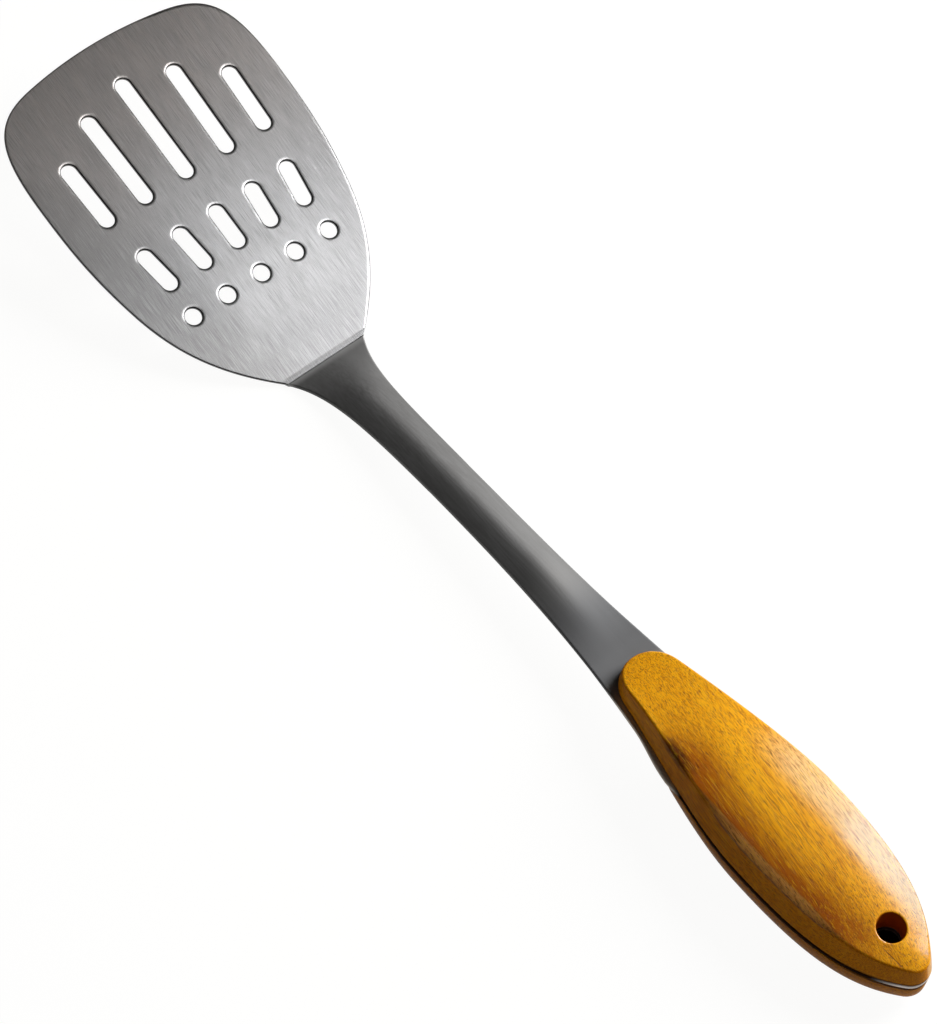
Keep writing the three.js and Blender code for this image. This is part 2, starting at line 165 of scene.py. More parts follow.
def streaks(tree, place, length, width, detail=2.0, rough=0.5, shift=0.0):
    """Noise drawn out along X: each streak is about this long and this wide, in the units of place."""
    drawn = node(tree, "ShaderNodeMapping", {
        "Vector": place, "Location": (shift, shift, shift), "Scale": (1 / length, 1 / width, 1 / width)})
    return node(tree, "ShaderNodeTexNoise", {
        "Vector": drawn.outputs[0], "Scale": 1.0, "Detail": detail, "Roughness": rough}).outputs["Fac"]


def new_material(name):
    """A new material, with its node tree and the Principled shader in it."""
    material = bpy.data.materials.new(name)
    material.use_nodes = True
    return material, material.node_tree, material.node_tree.nodes["Principled BSDF"]


def surface_mm(tree, turn=0.0):
    """The piece's own coordinates in millimetres, turned about Z."""
    place = node(tree, "ShaderNodeTexCoord").outputs["Object"]
    return node(tree, "ShaderNodeMapping", {
        "Vector": place, "Rotation": (0.0, 0.0, turn), "Scale": (1 / MM, 1 / MM, 1 / MM)}).outputs[0]


print("helpers for materials are ready")

# %% [markdown]
# ## The white table
# The tool lies on a white sweep of paper that fades into the background, with only a breath of shadow. A
# plain white floor would be grey away from the lamp. So the paper glows by itself where the camera looks at
# it, with a small matt share that holds the shadow. Polished surfaces mirror a softer glow, and for all other
# light the paper is a matt sheet that throws the lamp's light back at the sides of the tool.

# %% Shape the paper sweep
SWEEP_MIDDLE = 0.5
SWEEP_FLAT = 4.0
SWEEP_CURVE = 1.0
SWEEP_HEIGHT = 1.4
SWEEP_STEPS = 12
SWEEP_SIDES = 96


def paper_profile():
    """Radius and height along the sweep, from the middle of the floor to the top of the wall."""
    turns = np.linspace(0.0, math.pi / 2, SWEEP_STEPS + 1)
    curve = [(SWEEP_FLAT + SWEEP_CURVE * math.sin(a), SWEEP_CURVE * (1 - math.cos(a))) for a in turns]
    return [(SWEEP_MIDDLE, 0.0), *curve, (SWEEP_FLAT + SWEEP_CURVE, SWEEP_HEIGHT)]


def ring_quads(low, size, flip=False):
    """Faces between the ring of points that starts at low and the ring after it."""
    quads = []
    for i in range(size):
        after = (i + 1) % size
        quads.append((low + i, low + after, low + size + after, low + size + i))
    return [(a, d, c, b) for a, b, c, d in quads] if flip else quads


def paper_mesh():
    """The sweep as rings of quads round the tool, with one round face in the middle."""
    around = np.linspace(0.0, 2 * math.pi, SWEEP_SIDES, endpoint=False)
    points = [(r * math.cos(a), r * math.sin(a), z) for r, z in paper_profile() for a in around]
    faces = [tuple(range(SWEEP_SIDES))]
    for low in range(0, len(points) - SWEEP_SIDES, SWEEP_SIDES):
        faces += ring_quads(low, SWEEP_SIDES, flip=True)
    mesh = bpy.data.meshes.new("paper_sweep")
    mesh.from_pydata(points, [], faces)
    mesh.shade_smooth()
    return mesh


paper = bpy.data.objects.new("paper_sweep", paper_mesh())
scene.collection.objects.link(paper)
print("paper sweep:", len(paper.data.polygons), "faces")

# %% Whiten the paper
PAPER_WHITE = (1.0, 0.998, 0.992)
PAPER_GLOW = 0.955
PAPER_SHADE = 0.07
PAPER_BOUNCE = 0.75
PAPER_MIRRORED = 0.5


def matt_paper(tree, grey):
    """Paper that throws back this share of the light."""
    return node(tree, "ShaderNodeBsdfDiffuse", {"Color": (grey, grey, grey, 1.0)}).outputs[0]


def glowing_paper(tree, strength):
    """Paper that shines by itself."""
    return node(tree, "ShaderNodeEmission", {"Color": opaque(PAPER_WHITE), "Strength": strength}).outputs[0]


def paper_material():
    """Glowing white for the camera with a matt share that takes the shadow, and a softer glow in mirrors."""
    material, tree, shader = new_material("white_paper")
    tree.nodes.remove(shader)
    path = node(tree, "ShaderNodeLightPath").outputs
    seen = calculate(tree, "MAXIMUM", path["Is Camera Ray"], path["Is Transmission Ray"])
    white = node(tree, "ShaderNodeAddShader", {
        0: matt_paper(tree, PAPER_SHADE), 1: glowing_paper(tree, PAPER_GLOW)}).outputs[0]
    chosen = node(tree, "ShaderNodeMixShader", {
        0: seen, 1: matt_paper(tree, PAPER_BOUNCE), 2: white}).outputs[0]
    chosen = node(tree, "ShaderNodeMixShader", {
        0: path["Is Glossy Ray"], 1: chosen, 2: glowing_paper(tree, PAPER_MIRRORED)}).outputs[0]
    feed(tree, tree.nodes["Material Output"], {"Surface": chosen})
    return material


paper.data.materials.append(paper_material())
print("paper glows with", PAPER_GLOW, "of full white")

# %% [markdown]
# ## The studio light
# The blade is bright at its heel and fades to dark grey at the tip, although it is flat. That is a
# reflection: one soft light stands behind the handle's side of the tool and leans towards it, so that the
# heel mirrors it and the tip mirrors the dark of the room. The same light models the crown of the wood, gives
# it a pale sheen along the far edge, and leaves the near walls dark. One area lamp does all this, with a
# trace of sky so that no shade is quite black. A picture of a studio would also work, but a lamp stays easy
# to move: its edges are given as places, and its power follows from how bright its surface should look.

# %% Hang the lamp
LAMP_LEFT, LAMP_RIGHT = -0.06, 0.38
LAMP_FOOT = (0.88, 0.12)
LAMP_HEAD = (0.50, 0.74)
LAMP_RADIANCE = 10.3
SKY_STRENGTH = 0.03
WATTS_PER_RADIANCE = 4.0


def leaning_lamp(name, left, right, foot, head, radiance):
    """An area lamp from x = left to right that leans from foot to head, each given as (y, z) in metres."""
    width, length = right - left, math.dist(foot, head)
    data = bpy.data.lights.new(name, "AREA")
    data.shape = "RECTANGLE"
    data.size = width
    data.size_y = length
    data.energy = WATTS_PER_RADIANCE * radiance * width * length
    lamp = bpy.data.objects.new(name, data)
    scene.collection.objects.link(lamp)
    across = Vector((1.0, 0.0, 0.0))
    along = Vector((0.0, foot[0] - head[0], foot[1] - head[1])).normalized()
    turn = Matrix((across, along, across.cross(along))).transposed().to_4x4()
    middle = Vector(((left + right) / 2, (foot[0] + head[0]) / 2, (foot[1] + head[1]) / 2))
    lamp.matrix_world = Matrix.Translation(middle) @ turn
    return lamp


softbox = leaning_lamp("softbox", LAMP_LEFT, LAMP_RIGHT, LAMP_FOOT, LAMP_HEAD, LAMP_RADIANCE)
print("softbox:", round(softbox.data.energy, 2), "W over", round(softbox.data.size_y, 2), "m")
sky = bpy.data.worlds.new("studio_sky")
sky.use_nodes = True
feed(sky.node_tree, sky.node_tree.nodes["Background"], {
    "Color": (1.0, 1.0, 1.0, 1.0), "Strength": SKY_STRENGTH})
scene.world = sky

# %% [markdown]
# ## From outlines to meshes
# Blade, shank and scales have one thing in common: each is an outline seen from above, with or without holes,
# a top and a bottom surface, and rims that are rounded over. Modelling them with bevels on a boolean would
# leave long thin faces that shade badly. Here an outline is a list of points. It is stepped inwards for each
# ring of the rounded rim, and the space inside the last ring is filled with a regular net of triangles.

# %% Draw curves and arcs
def bezier(start, first_pull, second_pull, end, steps):
    """Points on one curve from start up to, and without, its end."""
    t = np.linspace(0.0, 1.0, steps, endpoint=False)[:, None]
    start, first_pull, second_pull, end = (np.array(p, float) for p in (start, first_pull, second_pull, end))
    return ((1 - t) ** 3 * start + 3 * t * (1 - t) ** 2 * first_pull
            + 3 * t ** 2 * (1 - t) * second_pull + t ** 3 * end)


def arc(centre, radius, first, last, steps):
    """Points on a round stretch, both ends included. Angles are in radians."""
    angle = np.linspace(first, last, steps + 1)
    return np.array(centre) + radius * np.column_stack([np.cos(angle), np.sin(angle)])


def round_loop(centre, radius, steps):
    """A round hole, whose material lies on its left."""
    return arc(centre, radius, 2 * math.pi, 0.0, steps)[:-1]


def mirrored(half):
    """The same points on the other side of the middle line, in the other order."""
    return half[::-1] * (1.0, -1.0)


print("a quarter turn in 3 steps:", arc((0.0, 0.0), 1.0, 0.0, math.pi / 2, 3).round(2).tolist())

# %% Work on closed loops
def cut_long(loop, longest):
    """A closed loop with points added on every stretch longer than this."""
    parts = []
    for start, end in zip(loop, np.roll(loop, -1, axis=0)):
        pieces = max(1, math.ceil(np.linalg.norm(end - start) / longest))
        parts.append(start + (end - start) * np.linspace(0.0, 1.0, pieces, endpoint=False)[:, None])
    return np.concatenate(parts)


def inward(loop, distance):
    """The loop moved towards the material, which lies on its left."""
    along = np.roll(loop, -1, axis=0) - np.roll(loop, 1, axis=0)
    left = np.column_stack([-along[:, 1], along[:, 0]]) / np.linalg.norm(along, axis=1)[:, None]
    return loop + left * np.broadcast_to(distance, len(loop))[:, None]


def smoothstep(x, low, high):
    """0 up to low, 1 from high on, and a soft rise between."""
    t = np.clip((np.asarray(x, float) - low) / (high - low), 0.0, 1.0)
    return t * t * (3 - 2 * t)


def inside(points, loops):
    """Which points lie in the material: on the inner side of an odd number of loops."""
    odd = np.zeros(len(points), bool)
    x, y = points[:, 0], points[:, 1]
    for loop in loops:
        for (ax, ay), (bx, by) in zip(loop, np.roll(loop, -1, axis=0)):
            if ay != by:
                odd ^= ((ay > y) != (by > y)) & (x < ax + (bx - ax) * (y - ay) / (by - ay))
    return odd


print("a soft rise:", smoothstep([0.0, 0.25, 0.5, 0.75, 1.0], 0.0, 1.0).round(2).tolist())

# %% Fill an outline
ROW_PITCH = math.sqrt(0.75)
EDGE_CLEARANCE = 0.65
SAME_POINT = 1e-6


def fill(loops, spacing):
    """Covers the area between loops: net points every spacing, and triangles of loop and net points."""
    rim = np.concatenate(loops)
    near = kdtree.KDTree(len(rim))
    for index, (x, y) in enumerate(rim):
        near.insert((x, y, 0.0), index)
    near.balance()
    low, high = rim.min(axis=0), rim.max(axis=0)
    net = np.array([(x + spacing / 2 * (row % 2), y)
                    for row, y in enumerate(np.arange(low[1], high[1], spacing * ROW_PITCH))
                    for x in np.arange(low[0], high[0], spacing)])
    net = net[inside(net, loops)]
    net = net[[near.find((x, y, 0.0))[2] > EDGE_CLEARANCE * spacing for x, y in net]].reshape(-1, 2)
    edges, start = [], 0
    for loop in loops:
        edges += [(start + i, start + (i + 1) % len(loop)) for i in range(len(loop))]
        start += len(loop)
    corners = np.concatenate([rim, net])
    _, _, faces, origins, _, _ = delaunay_2d_cdt([Vector(p) for p in corners], edges, [], 0, SAME_POINT)
    source = np.array([origin[0] for origin in origins])
    triangles = source[np.array(faces)]
    return net, triangles[inside(corners[triangles].mean(axis=1), loops)]


disc = round_loop((0.0, 0.0), 5.0, 36)[::-1]
print("a disc of 10 mm is filled with", len(fill([disc], 2.0)[1]), "triangles")

# %% Raise an outline into a piece
SHARP_ANGLE = math.radians(50)


def smooth_mesh(name, points, faces):
    """A mesh from lists of points in millimetres, shaded smooth but for its sharp edges."""
    mesh = bpy.data.meshes.new(name)
    mesh.from_pydata((np.concatenate(points) * MM).tolist(), [], faces)
    mesh.shade_smooth()
    mesh.set_sharp_from_angle(angle=SHARP_ANGLE)
    return mesh


def raise_piece(name, walls, top, bottom, spacing, place):
    """A closed piece. Each wall is a list of rings from the bottom up; top and bottom give heights inside."""
    points, faces, count = [], [], 0
    edge_rings = {0: [], -1: []}
    for rings in walls:
        size, start = len(rings[0]), count
        points += rings
        count += size * len(rings)
        for low in range(start, count - size, size):
            faces += ring_quads(low, size)
        edge_rings[0].append(np.arange(start, start + size))
        edge_rings[-1].append(np.arange(count - size, count))
    for end, height in ((0, bottom), (-1, top)):
        net, triangles = fill([rings[end][:, :2] for rings in walls], spacing)
        index = np.concatenate([*edge_rings[end], np.arange(count, count + len(net))])
        points.append(np.column_stack([net, height(net)]))
        count += len(net)
        order = (0, 1, 2) if end else (0, 2, 1)
        faces += [tuple(int(index[corner[k]]) for k in order) for corner in triangles]
    mesh = smooth_mesh(name, points, faces)
    piece = bpy.data.objects.new(name, mesh)
    scene.collection.objects.link(piece)
    piece.matrix_world = place
    print(name, "has", len(mesh.vertices), "points and", len(mesh.polygons), "faces")
    return piece


def dress(piece, stands_for, material):
    """Gives the piece its finish, and lets it stand for a measured solid on the one body."""
    piece.data.materials.append(material)
    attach(piece, "root")
    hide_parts(stands_for)
    print(piece.name, "is finished in", material.name)


print("helpers for pieces are ready")

# %% Round the rims
GUARD = 0.25


def ring(plan, height):
    """The points of a plan, raised to a height."""
    return np.column_stack([plan, np.broadcast_to(height, len(plan))])


def rim_rings(loop, face, radius, drop, steps=4):
    """Rings over a rounded rim and onto its face, where a guard ring keeps the shading flat."""
    rings = []
    for turn in np.linspace(0.0, math.pi / 2, steps + 1):
        plan = inward(loop, radius * (1 - math.cos(turn)))
        rings.append(ring(plan, face(plan) - drop * (1 - math.sin(turn))))
    guard = inward(loop, radius + GUARD)
    return [*rings, ring(guard, face(guard))]


def rolled_rings(loop, top, bottom, top_radius, top_drop, bottom_radius, steps=4):
    """Rings up the edge of a sheet, from its lower face over both rounded rims to its upper face."""
    below = rim_rings(loop, bottom, bottom_radius, -bottom_radius, steps)
    return below[::-1] + rim_rings(loop, top, top_radius, top_drop, steps)


print("helpers for rims are ready, with guard rings", GUARD, "mm inside")

# %% [markdown]
# ## The blade's outline
# The blade is a flat sheet, pitched up from the shank. Seen square on, it widens in a shoulder, is widest
# near the front, turns a soft corner and ends in a shallow arc. Each stretch is one curve, and the other side
# is its mirror image. X runs from the tip towards the handle and is 0 on the bend at the heel.

# %% Draw the blade's outline
SHEET = 1.4
BLADE_PITCH = math.radians(16)
BLADE_LENGTH = 114.6
HEEL_HALF = 13.8
SHOULDER, SHOULDER_PULLS = (-41.0, 38.85), ((-13.5, 29.1), (-26.0, 35.6))
WIDEST, WIDEST_PULL = (-81.0, 42.7), (-56.0, 42.1)
WIDEST_FROM, WIDEST_TO = -66.0, -103.0
FRONT_RADIUS = 135.0
CORNER_HALF = 24.0
CORNER_PULL = 14.4
EDGE_STEP = 1.3
HEEL = Vector((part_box("shank_and_tang")[0].x, 0.0, SHEET / math.cos(BLADE_PITCH) * MM))


def blade_outline():
    """The blade's edge from the heel round the front and back, then across the heel."""
    bend = math.asin(CORNER_HALF / FRONT_RADIUS)
    middle = FRONT_RADIUS - BLADE_LENGTH
    corner = np.array((middle - FRONT_RADIUS * math.cos(bend), CORNER_HALF))
    corner_pull = corner + CORNER_PULL * np.array((math.sin(bend), math.cos(bend)))
    half = np.concatenate([
        bezier((0.0, HEEL_HALF), *SHOULDER_PULLS, SHOULDER, 36),
        bezier(SHOULDER, WIDEST_PULL, (WIDEST_FROM, WIDEST[1]), WIDEST, 28),
        bezier(WIDEST, (WIDEST_TO, WIDEST[1]), corner_pull, corner, 36)])
    front = arc((middle, 0.0), FRONT_RADIUS, math.pi - bend, math.pi + bend, 40)
    return cut_long(np.concatenate([half, front, mirrored(half)]), EDGE_STEP)


blade_edge = blade_outline()
print("blade edge:", len(blade_edge), "points,", round(np.ptp(blade_edge[:, 1]), 1), "mm wide")

# %% [markdown]
# ## The drain openings
# Three rows cross the blade: round holes by the heel, short slots, and long slots whose length follows the
# front edge. The slots of a row fan out a little. They were punched from above, which rolled their rims over,
# so every opening has a soft lip that catches the light on the tip's side. Each opening is a loop that runs
# the opposite way round from the edge, so that one rule finds the steel: it lies on the left of every loop.

# %% Draw the openings
HOLE_RADIUS = 2.6
HOLE_ROW = -31.3
HOLE_STEP = 12.3
SLOT_RADIUS = 2.5
SLOT_STEP = 1.0
SHORT_SLOT = 14.8
SHORT_ROW = -48.2
SHORT_STEP = 12.5
SHORT_FAN = (0.0, 5.5, 8.2)
LONG_ROW = -66.1
LONG_OFFSETS = (0.0, 14.7, 28.3)
LONG_SLOTS = (35.5, 31.2, 22.2)
LONG_FAN = (0.0, 1.4, 2.4)
PLACES = (-2, -1, 0, 1, 2)


def slot_loop(near, fan, length):
    """A slot from its round end by the heel, as a hole: its material lies on the left."""
    along = np.array((-math.cos(fan), math.sin(fan)))
    far = near + along * (length - 2 * SLOT_RADIUS)
    facing = math.atan2(along[1], along[0])
    ends = [arc(far, SLOT_RADIUS, facing - math.pi / 2, facing + math.pi / 2, 18),
            arc(near, SLOT_RADIUS, facing + math.pi / 2, facing + 3 * math.pi / 2, 18)]
    return cut_long(np.concatenate(ends)[::-1], SLOT_STEP)


def blade_openings():
    """The loops of all fifteen openings."""
    loops = []
    for place in PLACES:
        rank, side = abs(place), np.sign(place)
        loops.append(round_loop((HOLE_ROW, place * HOLE_STEP), HOLE_RADIUS, 36))
        fan = math.radians(SHORT_FAN[rank]) * side
        half = SHORT_SLOT / 2 - SLOT_RADIUS
        middle = np.array((SHORT_ROW, place * SHORT_STEP))
        loops.append(slot_loop(middle + half * np.array((math.cos(fan), -math.sin(fan))), fan, SHORT_SLOT))
        fan = math.radians(LONG_FAN[rank]) * side
        near = np.array((LONG_ROW - SLOT_RADIUS, LONG_OFFSETS[rank] * side))
        loops.append(slot_loop(near, fan, LONG_SLOTS[rank]))
    return loops


openings = blade_openings()
print("openings:", len(openings))

# %% [markdown]
# ## The blade
# The sheet's edge is eased all round. On the far side it is rolled wider, and at the heel it is left square
# and cut at a slant, so that it closes against the shank without a gap.

# %% Raise the blade
LIP_WIDTH = 0.95
LIP_DROP = 0.3
EDGE_RADIUS = 0.3
FAR_RIM = 0.6
FAR_RIM_GROWS = (13.9, 22.0)
WELD_RADIUS = 0.02
HEEL_TOLERANCE = 0.001
BLADE_NET = 2.0


def flat_face(plan):
    """A flat face at height 0."""
    return np.zeros(len(plan))


def sheet_bottom(plan):
    """The flat lower face of the sheet."""
    return np.full(len(plan), -SHEET)


def blade_walls():
    """Rings round the edge and round each opening. The heel is mitred to stand upright in the bend."""
    at_heel = blade_edge[:, 0] > -HEEL_TOLERANCE
    radius = np.where(at_heel, WELD_RADIUS, EDGE_RADIUS)
    far_rim = np.where(at_heel, 0.0, FAR_RIM * smoothstep(blade_edge[:, 1], *FAR_RIM_GROWS))
    rings = rolled_rings(blade_edge, flat_face, sheet_bottom, radius + far_rim, radius, radius)
    for row in rings:
        row[at_heel, 0] = -row[at_heel, 2] * math.tan(BLADE_PITCH)
    for guard in (rings[0], rings[-1]):
        guard[at_heel, 0] -= GUARD
    lips = [rolled_rings(loop, flat_face, sheet_bottom, LIP_WIDTH, LIP_DROP, EDGE_RADIUS, steps=6)
            for loop in openings]
    return [rings, *lips]


blade = raise_piece("blade_sheet", blade_walls(), flat_face, sheet_bottom, BLADE_NET,
                    Matrix.Translation(HEEL) @ Matrix.Rotation(BLADE_PITCH, 4, "Y"))

# %% [markdown]
# ## The bend at the heel
# Blade and shank meet in a shallow valley that isn't sharp: the blade ends in a narrow band that leans a
# little towards the shank, and then turns into it. A bevel across two separate pieces isn't possible, so a
# slim bar lies in the valley. It meets both faces along its sides, follows the outline at its ends, and is
# joined to the blade's mesh.

# %% Round the bend
BAND_WIDTH = 1.3
BAND_LEAN = math.radians(2.5)
BEND_REACH = 0.3
BEND_PULL = 0.6
BEND_SUNK = 0.25
BEND_INSET = 0.3
BLADE_SPREAD, SHANK_SPREAD = 1.13, 0.6
SHANK_CLIMB = (42.0, 8.4)
BEND_ANGLE = BLADE_PITCH + math.atan2(SHANK_CLIMB[1], SHANK_CLIMB[0])
BEND_ROWS = 33


def bend_section():
    """The bar's section in blade millimetres: its band, the turn into the shank, and back below the steel."""
    shank = np.array((math.cos(BEND_ANGLE), math.sin(BEND_ANGLE)))
    lean = np.array((math.cos(BAND_LEAN), math.sin(BAND_LEAN)))
    start, end = np.array((-BAND_WIDTH - BEND_REACH, 0.0)), BEND_REACH * shank
    band = start + BAND_WIDTH * lean
    pull = BEND_REACH * BEND_PULL
    turn = bezier(band, band + pull * lean, end - pull * shank, end, 8)
    sunk = BEND_SUNK * np.array(((shank[1], -shank[0]), (0.0, -1.0)))
    return np.concatenate([[start, (2 * start + band) / 3, (start + 2 * band) / 3], turn, [end],
                           np.array((end, start)) + sunk])


def add_bend(piece):
    """Adds the bar to the blade's mesh."""
    section = bend_section()
    size = len(section)
    along = section[:, 0]
    half = HEEL_HALF - BEND_INSET - np.where(along < 0, BLADE_SPREAD, SHANK_SPREAD) * along
    rows = [np.column_stack([along, share * half, section[:, 1]])
            for share in np.linspace(1.0, -1.0, BEND_ROWS)]
    last = (BEND_ROWS - 1) * size
    faces = [tuple(range(size)), tuple(range(last, last + size))[::-1]]
    for low in range(0, last, size):
        faces += ring_quads(low, size, flip=True)
    mesh = smooth_mesh("heel_bend", rows, faces)
    joined = bmesh.new()
    joined.from_mesh(piece.data)
    joined.from_mesh(mesh)
    joined.to_mesh(piece.data)
    joined.free()
    print("the bend adds", len(mesh.polygons), "faces")


add_bend(blade)

# %% [markdown]
# ## Brushed steel
# The blade was brushed along its length: thousands of hair-fine grooves, each a little lighter or darker.
# Such steel mirrors sharply along the grooves and smears across them. A stretched noise gives the hairs their
# colour, gloss and depth, and the shader's anisotropy gives the smear. It needs to know which way to smear,
# so the blade gets a map whose first direction runs across the grooves. The middle is painted brighter and
# the near edge darker: painted light and painted shade that stand in for how the lamp's reflection falls.
# Broad faint clouds keep the sheet from looking printed, and the cut walls of the edge and the openings are
# painted near black, painted shade.

# %% Map the blade across its grooves
def crosswise_map(piece):
    """A map of the piece's own Y and X, so that a tangent can run across its length."""
    points = np.zeros(len(piece.data.vertices) * 3)
    piece.data.vertices.foreach_get("co", points)
    corners = np.zeros(len(piece.data.loops), int)
    piece.data.loops.foreach_get("vertex_index", corners)
    layer = piece.data.uv_layers.new(name="crosswise")
    layer.data.foreach_set("uv", points.reshape(-1, 3)[corners, 1::-1].ravel())
    print(piece.name, "has a map with", len(corners), "corners")


crosswise_map(blade)

# %% Brush the blade
TIP_STEEL, HEEL_STEEL = (0.53, 0.485, 0.46), (0.40, 0.40, 0.408)
LIT_MIDDLE_STEEL, SHADED_NEAR_EDGE_STEEL = (0.64, 0.64, 0.65), (0.27, 0.265, 0.26)
CLOUDED_STEEL, SHADED_CUT_STEEL = (0.32, 0.315, 0.315), (0.014, 0.0138, 0.0136)
DARK_HAIR, LIGHT_HAIR = (0.21, 0.205, 0.205), (0.65, 0.65, 0.65)
TIP_TONE_ENDS = -0.3 * BLADE_LENGTH
LIT_MIDDLE_STARTS, LIT_MIDDLE_ENDS = (-88.0, -50.0), (-30.0, -6.0)
LIT_MIDDLE_NEAR, LIT_MIDDLE_FAR = (-24.0, -6.0), (8.0, 44.0)
NEAR_EDGE, NEAR_EDGE_SLANT = (-19.0, -1.0), 0.32
CUT_FOOT, CUT_TOP = (-0.7, -0.45), (-0.14, -0.04)


def lit_middle_share(tree, along, across):
    """How much painted light brightens the middle of the blade."""
    lengthwise = times(tree, spread(tree, along, *LIT_MIDDLE_STARTS), spread(tree, along, *LIT_MIDDLE_ENDS, 1.0, 0.0))
    crosswise = times(tree, spread(tree, across, *LIT_MIDDLE_NEAR), spread(tree, across, *LIT_MIDDLE_FAR, 0.6, 0.1))
    return times(tree, lengthwise, crosswise)


def brushed_steel():
    """Light steel with hairlines along X."""
    material, tree, shader = new_material("brushed_steel")
    place = surface_mm(tree)
    along, across, height = axes(tree, place)
    hairs = streaks(tree, place, 9.0, 0.15, detail=3.0, rough=0.75)
    clouds = streaks(tree, place, 16.0, 3.5, detail=4.0, rough=0.65, shift=7.0)
    slanted = calculate(tree, "SUBTRACT", across, times(tree, along, NEAR_EDGE_SLANT))
    cut = times(tree, spread(tree, height, *CUT_FOOT), spread(tree, height, *CUT_TOP, 1.0, 0.0))
    towards_heel = spread(tree, along, -BLADE_LENGTH, TIP_TONE_ENDS)
    tone = layered(
        tree, blend(tree, towards_heel, TIP_STEEL, HEEL_STEEL),
        # painted light: the middle of the blade is painted brighter
        (lit_middle_share(tree, along, across), LIT_MIDDLE_STEEL),
        # painted shade: the near edge is painted darker
        (spread(tree, slanted, *NEAR_EDGE, 0.45, 0.0), SHADED_NEAR_EDGE_STEEL),
        (spread(tree, clouds, 0.35, 0.65, 0.0, 0.3), CLOUDED_STEEL),
        (spread(tree, hairs, 0.5, 0.64, 0.0, 0.55), DARK_HAIR),
        (spread(tree, hairs, 0.36, 0.5, 0.55, 0.0), LIGHT_HAIR),
        # painted shade: the cut walls are painted near black
        (cut, SHADED_CUT_STEEL))
    run = node(tree, "ShaderNodeTangent", direction_type="UV_MAP", uv_map="crosswise")
    feed(tree, shader, {
        "Base Color": tone, "Metallic": 1.0, "Roughness": spread(tree, hairs, 0.2, 0.8, 0.36, 0.43),
        "Anisotropic": 0.75, "Tangent": run.outputs[0], "Normal": relief(tree, hairs, 0.25)})
    return material


dress(blade, "blade", brushed_steel())

# %% [markdown]
# ## The handle's outline
# The wood is drawn next, because the tang under it follows the same line. The flank starts at the front,
# swells to its widest, and closes on a small round butt. The upper half starts at the front with a round
# nose, and the lower half starts further back.

# %% Draw the handle's flank
HANDLE_LENGTH = 118.8
HANDLE_WIDEST = 64.0
HANDLE_HALF = 18.0
FLANK_PULL = (26.7, 12.1)
SWELL_FROM, SWELL_TO = 46.5, 92.0
NOSE = (9.2, 9.3)
BUTT_RADIUS = 6.0
BUTT_TURN = math.radians(48)
BUTT_PULL = 15.0


def handle_flank():
    """One side of the handle, from behind its nose to the middle of the butt, in handle millimetres."""
    centre = np.array((HANDLE_LENGTH - BUTT_RADIUS, 0.0))
    turn = centre + BUTT_RADIUS * np.array((math.cos(BUTT_TURN), math.sin(BUTT_TURN)))
    pull = turn + BUTT_PULL * np.array((-math.sin(BUTT_TURN), math.cos(BUTT_TURN)))
    widest = (HANDLE_WIDEST, HANDLE_HALF)
    return np.concatenate([
        bezier(NOSE, FLANK_PULL, (SWELL_FROM, HANDLE_HALF), widest, 44),
        bezier(widest, (SWELL_TO, HANDLE_HALF), pull, turn, 44),
        arc(centre, BUTT_RADIUS, BUTT_TURN, 0.0, 12)])


flank = handle_flank()
print("handle flank:", len(flank), "points,", round(2 * flank[:, 1].max(), 1), "mm across")

# %% [markdown]
# ## The shank and tang
# One strip of the same sheet runs from the blade to the butt. It flares into the heel, is arched across its
# middle so that it doesn't flex, and flattens before the wood. Then it spreads. Beside the front of the wood
# it stands a little proud, with a rounder rim, because only the stretch with wood on both sides was sanded
# flush. Its height over the plan is a formula, so it is raised like the blade.

# %% Draw the strip's edge
HANDLE_FRONT = 131.8
SHANK_HALF = 6.97
FLARE_FADE = 10.9
NECK_END = 55.0
NECK_PULL = 55.2
SPREAD_PULL = 48.0
TANG_FLUSH_FROM = 44.0
PROUD_EDGE = 1.15
PROUD_GROWS, PROUD_ENDS = (148.0, 162.0), (164.0, 172.0)


def proud_share(x):
    """1 where the tang stands proud of the wood, 0 elsewhere."""
    return smoothstep(x, *PROUD_GROWS) * (1 - smoothstep(x, *PROUD_ENDS))


def strip_half():
    """One edge of the strip, from the heel to the middle of the butt."""
    x = np.linspace(0.0, NECK_END, 45, endpoint=False)
    flare = np.column_stack([x, SHANK_HALF + (HEEL_HALF - SHANK_HALF) * np.exp(-x / FLARE_FADE)])
    flush = flank[flank[:, 0] > TANG_FLUSH_FROM] + (HANDLE_FRONT, 0.0)
    slope = (flush[1] - flush[0]) / (flush[1, 0] - flush[0, 0])
    rise = bezier((NECK_END, SHANK_HALF), (NECK_END + NECK_PULL, SHANK_HALF),
                  flush[0] - SPREAD_PULL * slope, flush[0], 60)
    half = np.concatenate([flare, rise, flush])
    half[:, 1] += PROUD_EDGE * proud_share(half[:, 0])
    return half


strip_side = strip_half()
print("strip edge:", len(strip_side), "points over", round(strip_side[-1, 0], 1), "mm")

# %% Raise the shank and tang
SHANK_LENGTH = 126.0
TANG_TOP = 11.0
PROUD_WIDTH, PROUD_DROP = 1.6, 0.5
CLIMB_EASES = (92.0, 9.8)
ARCH_RISE = 2.6
ARCH_ROUND = 0.45
ARCH_GROWS, ARCH_FADES = (0.0, 21.0), (91.0, 130.0)
MITRE_FADES = (0.0, 32.0)
STRIP_RADIUS = 0.4
STRIP_NET = 1.2
HANGING_HOLE_RADIUS = 4.1
HANGING_HOLE_AT = 104.0
HANGING_HOLE_SIDES = 48

tang_start = (SHANK_LENGTH, TANG_TOP)
profile = np.concatenate([bezier((0.0, 0.0), SHANK_CLIMB, CLIMB_EASES, tang_start, 80), [tang_start]])


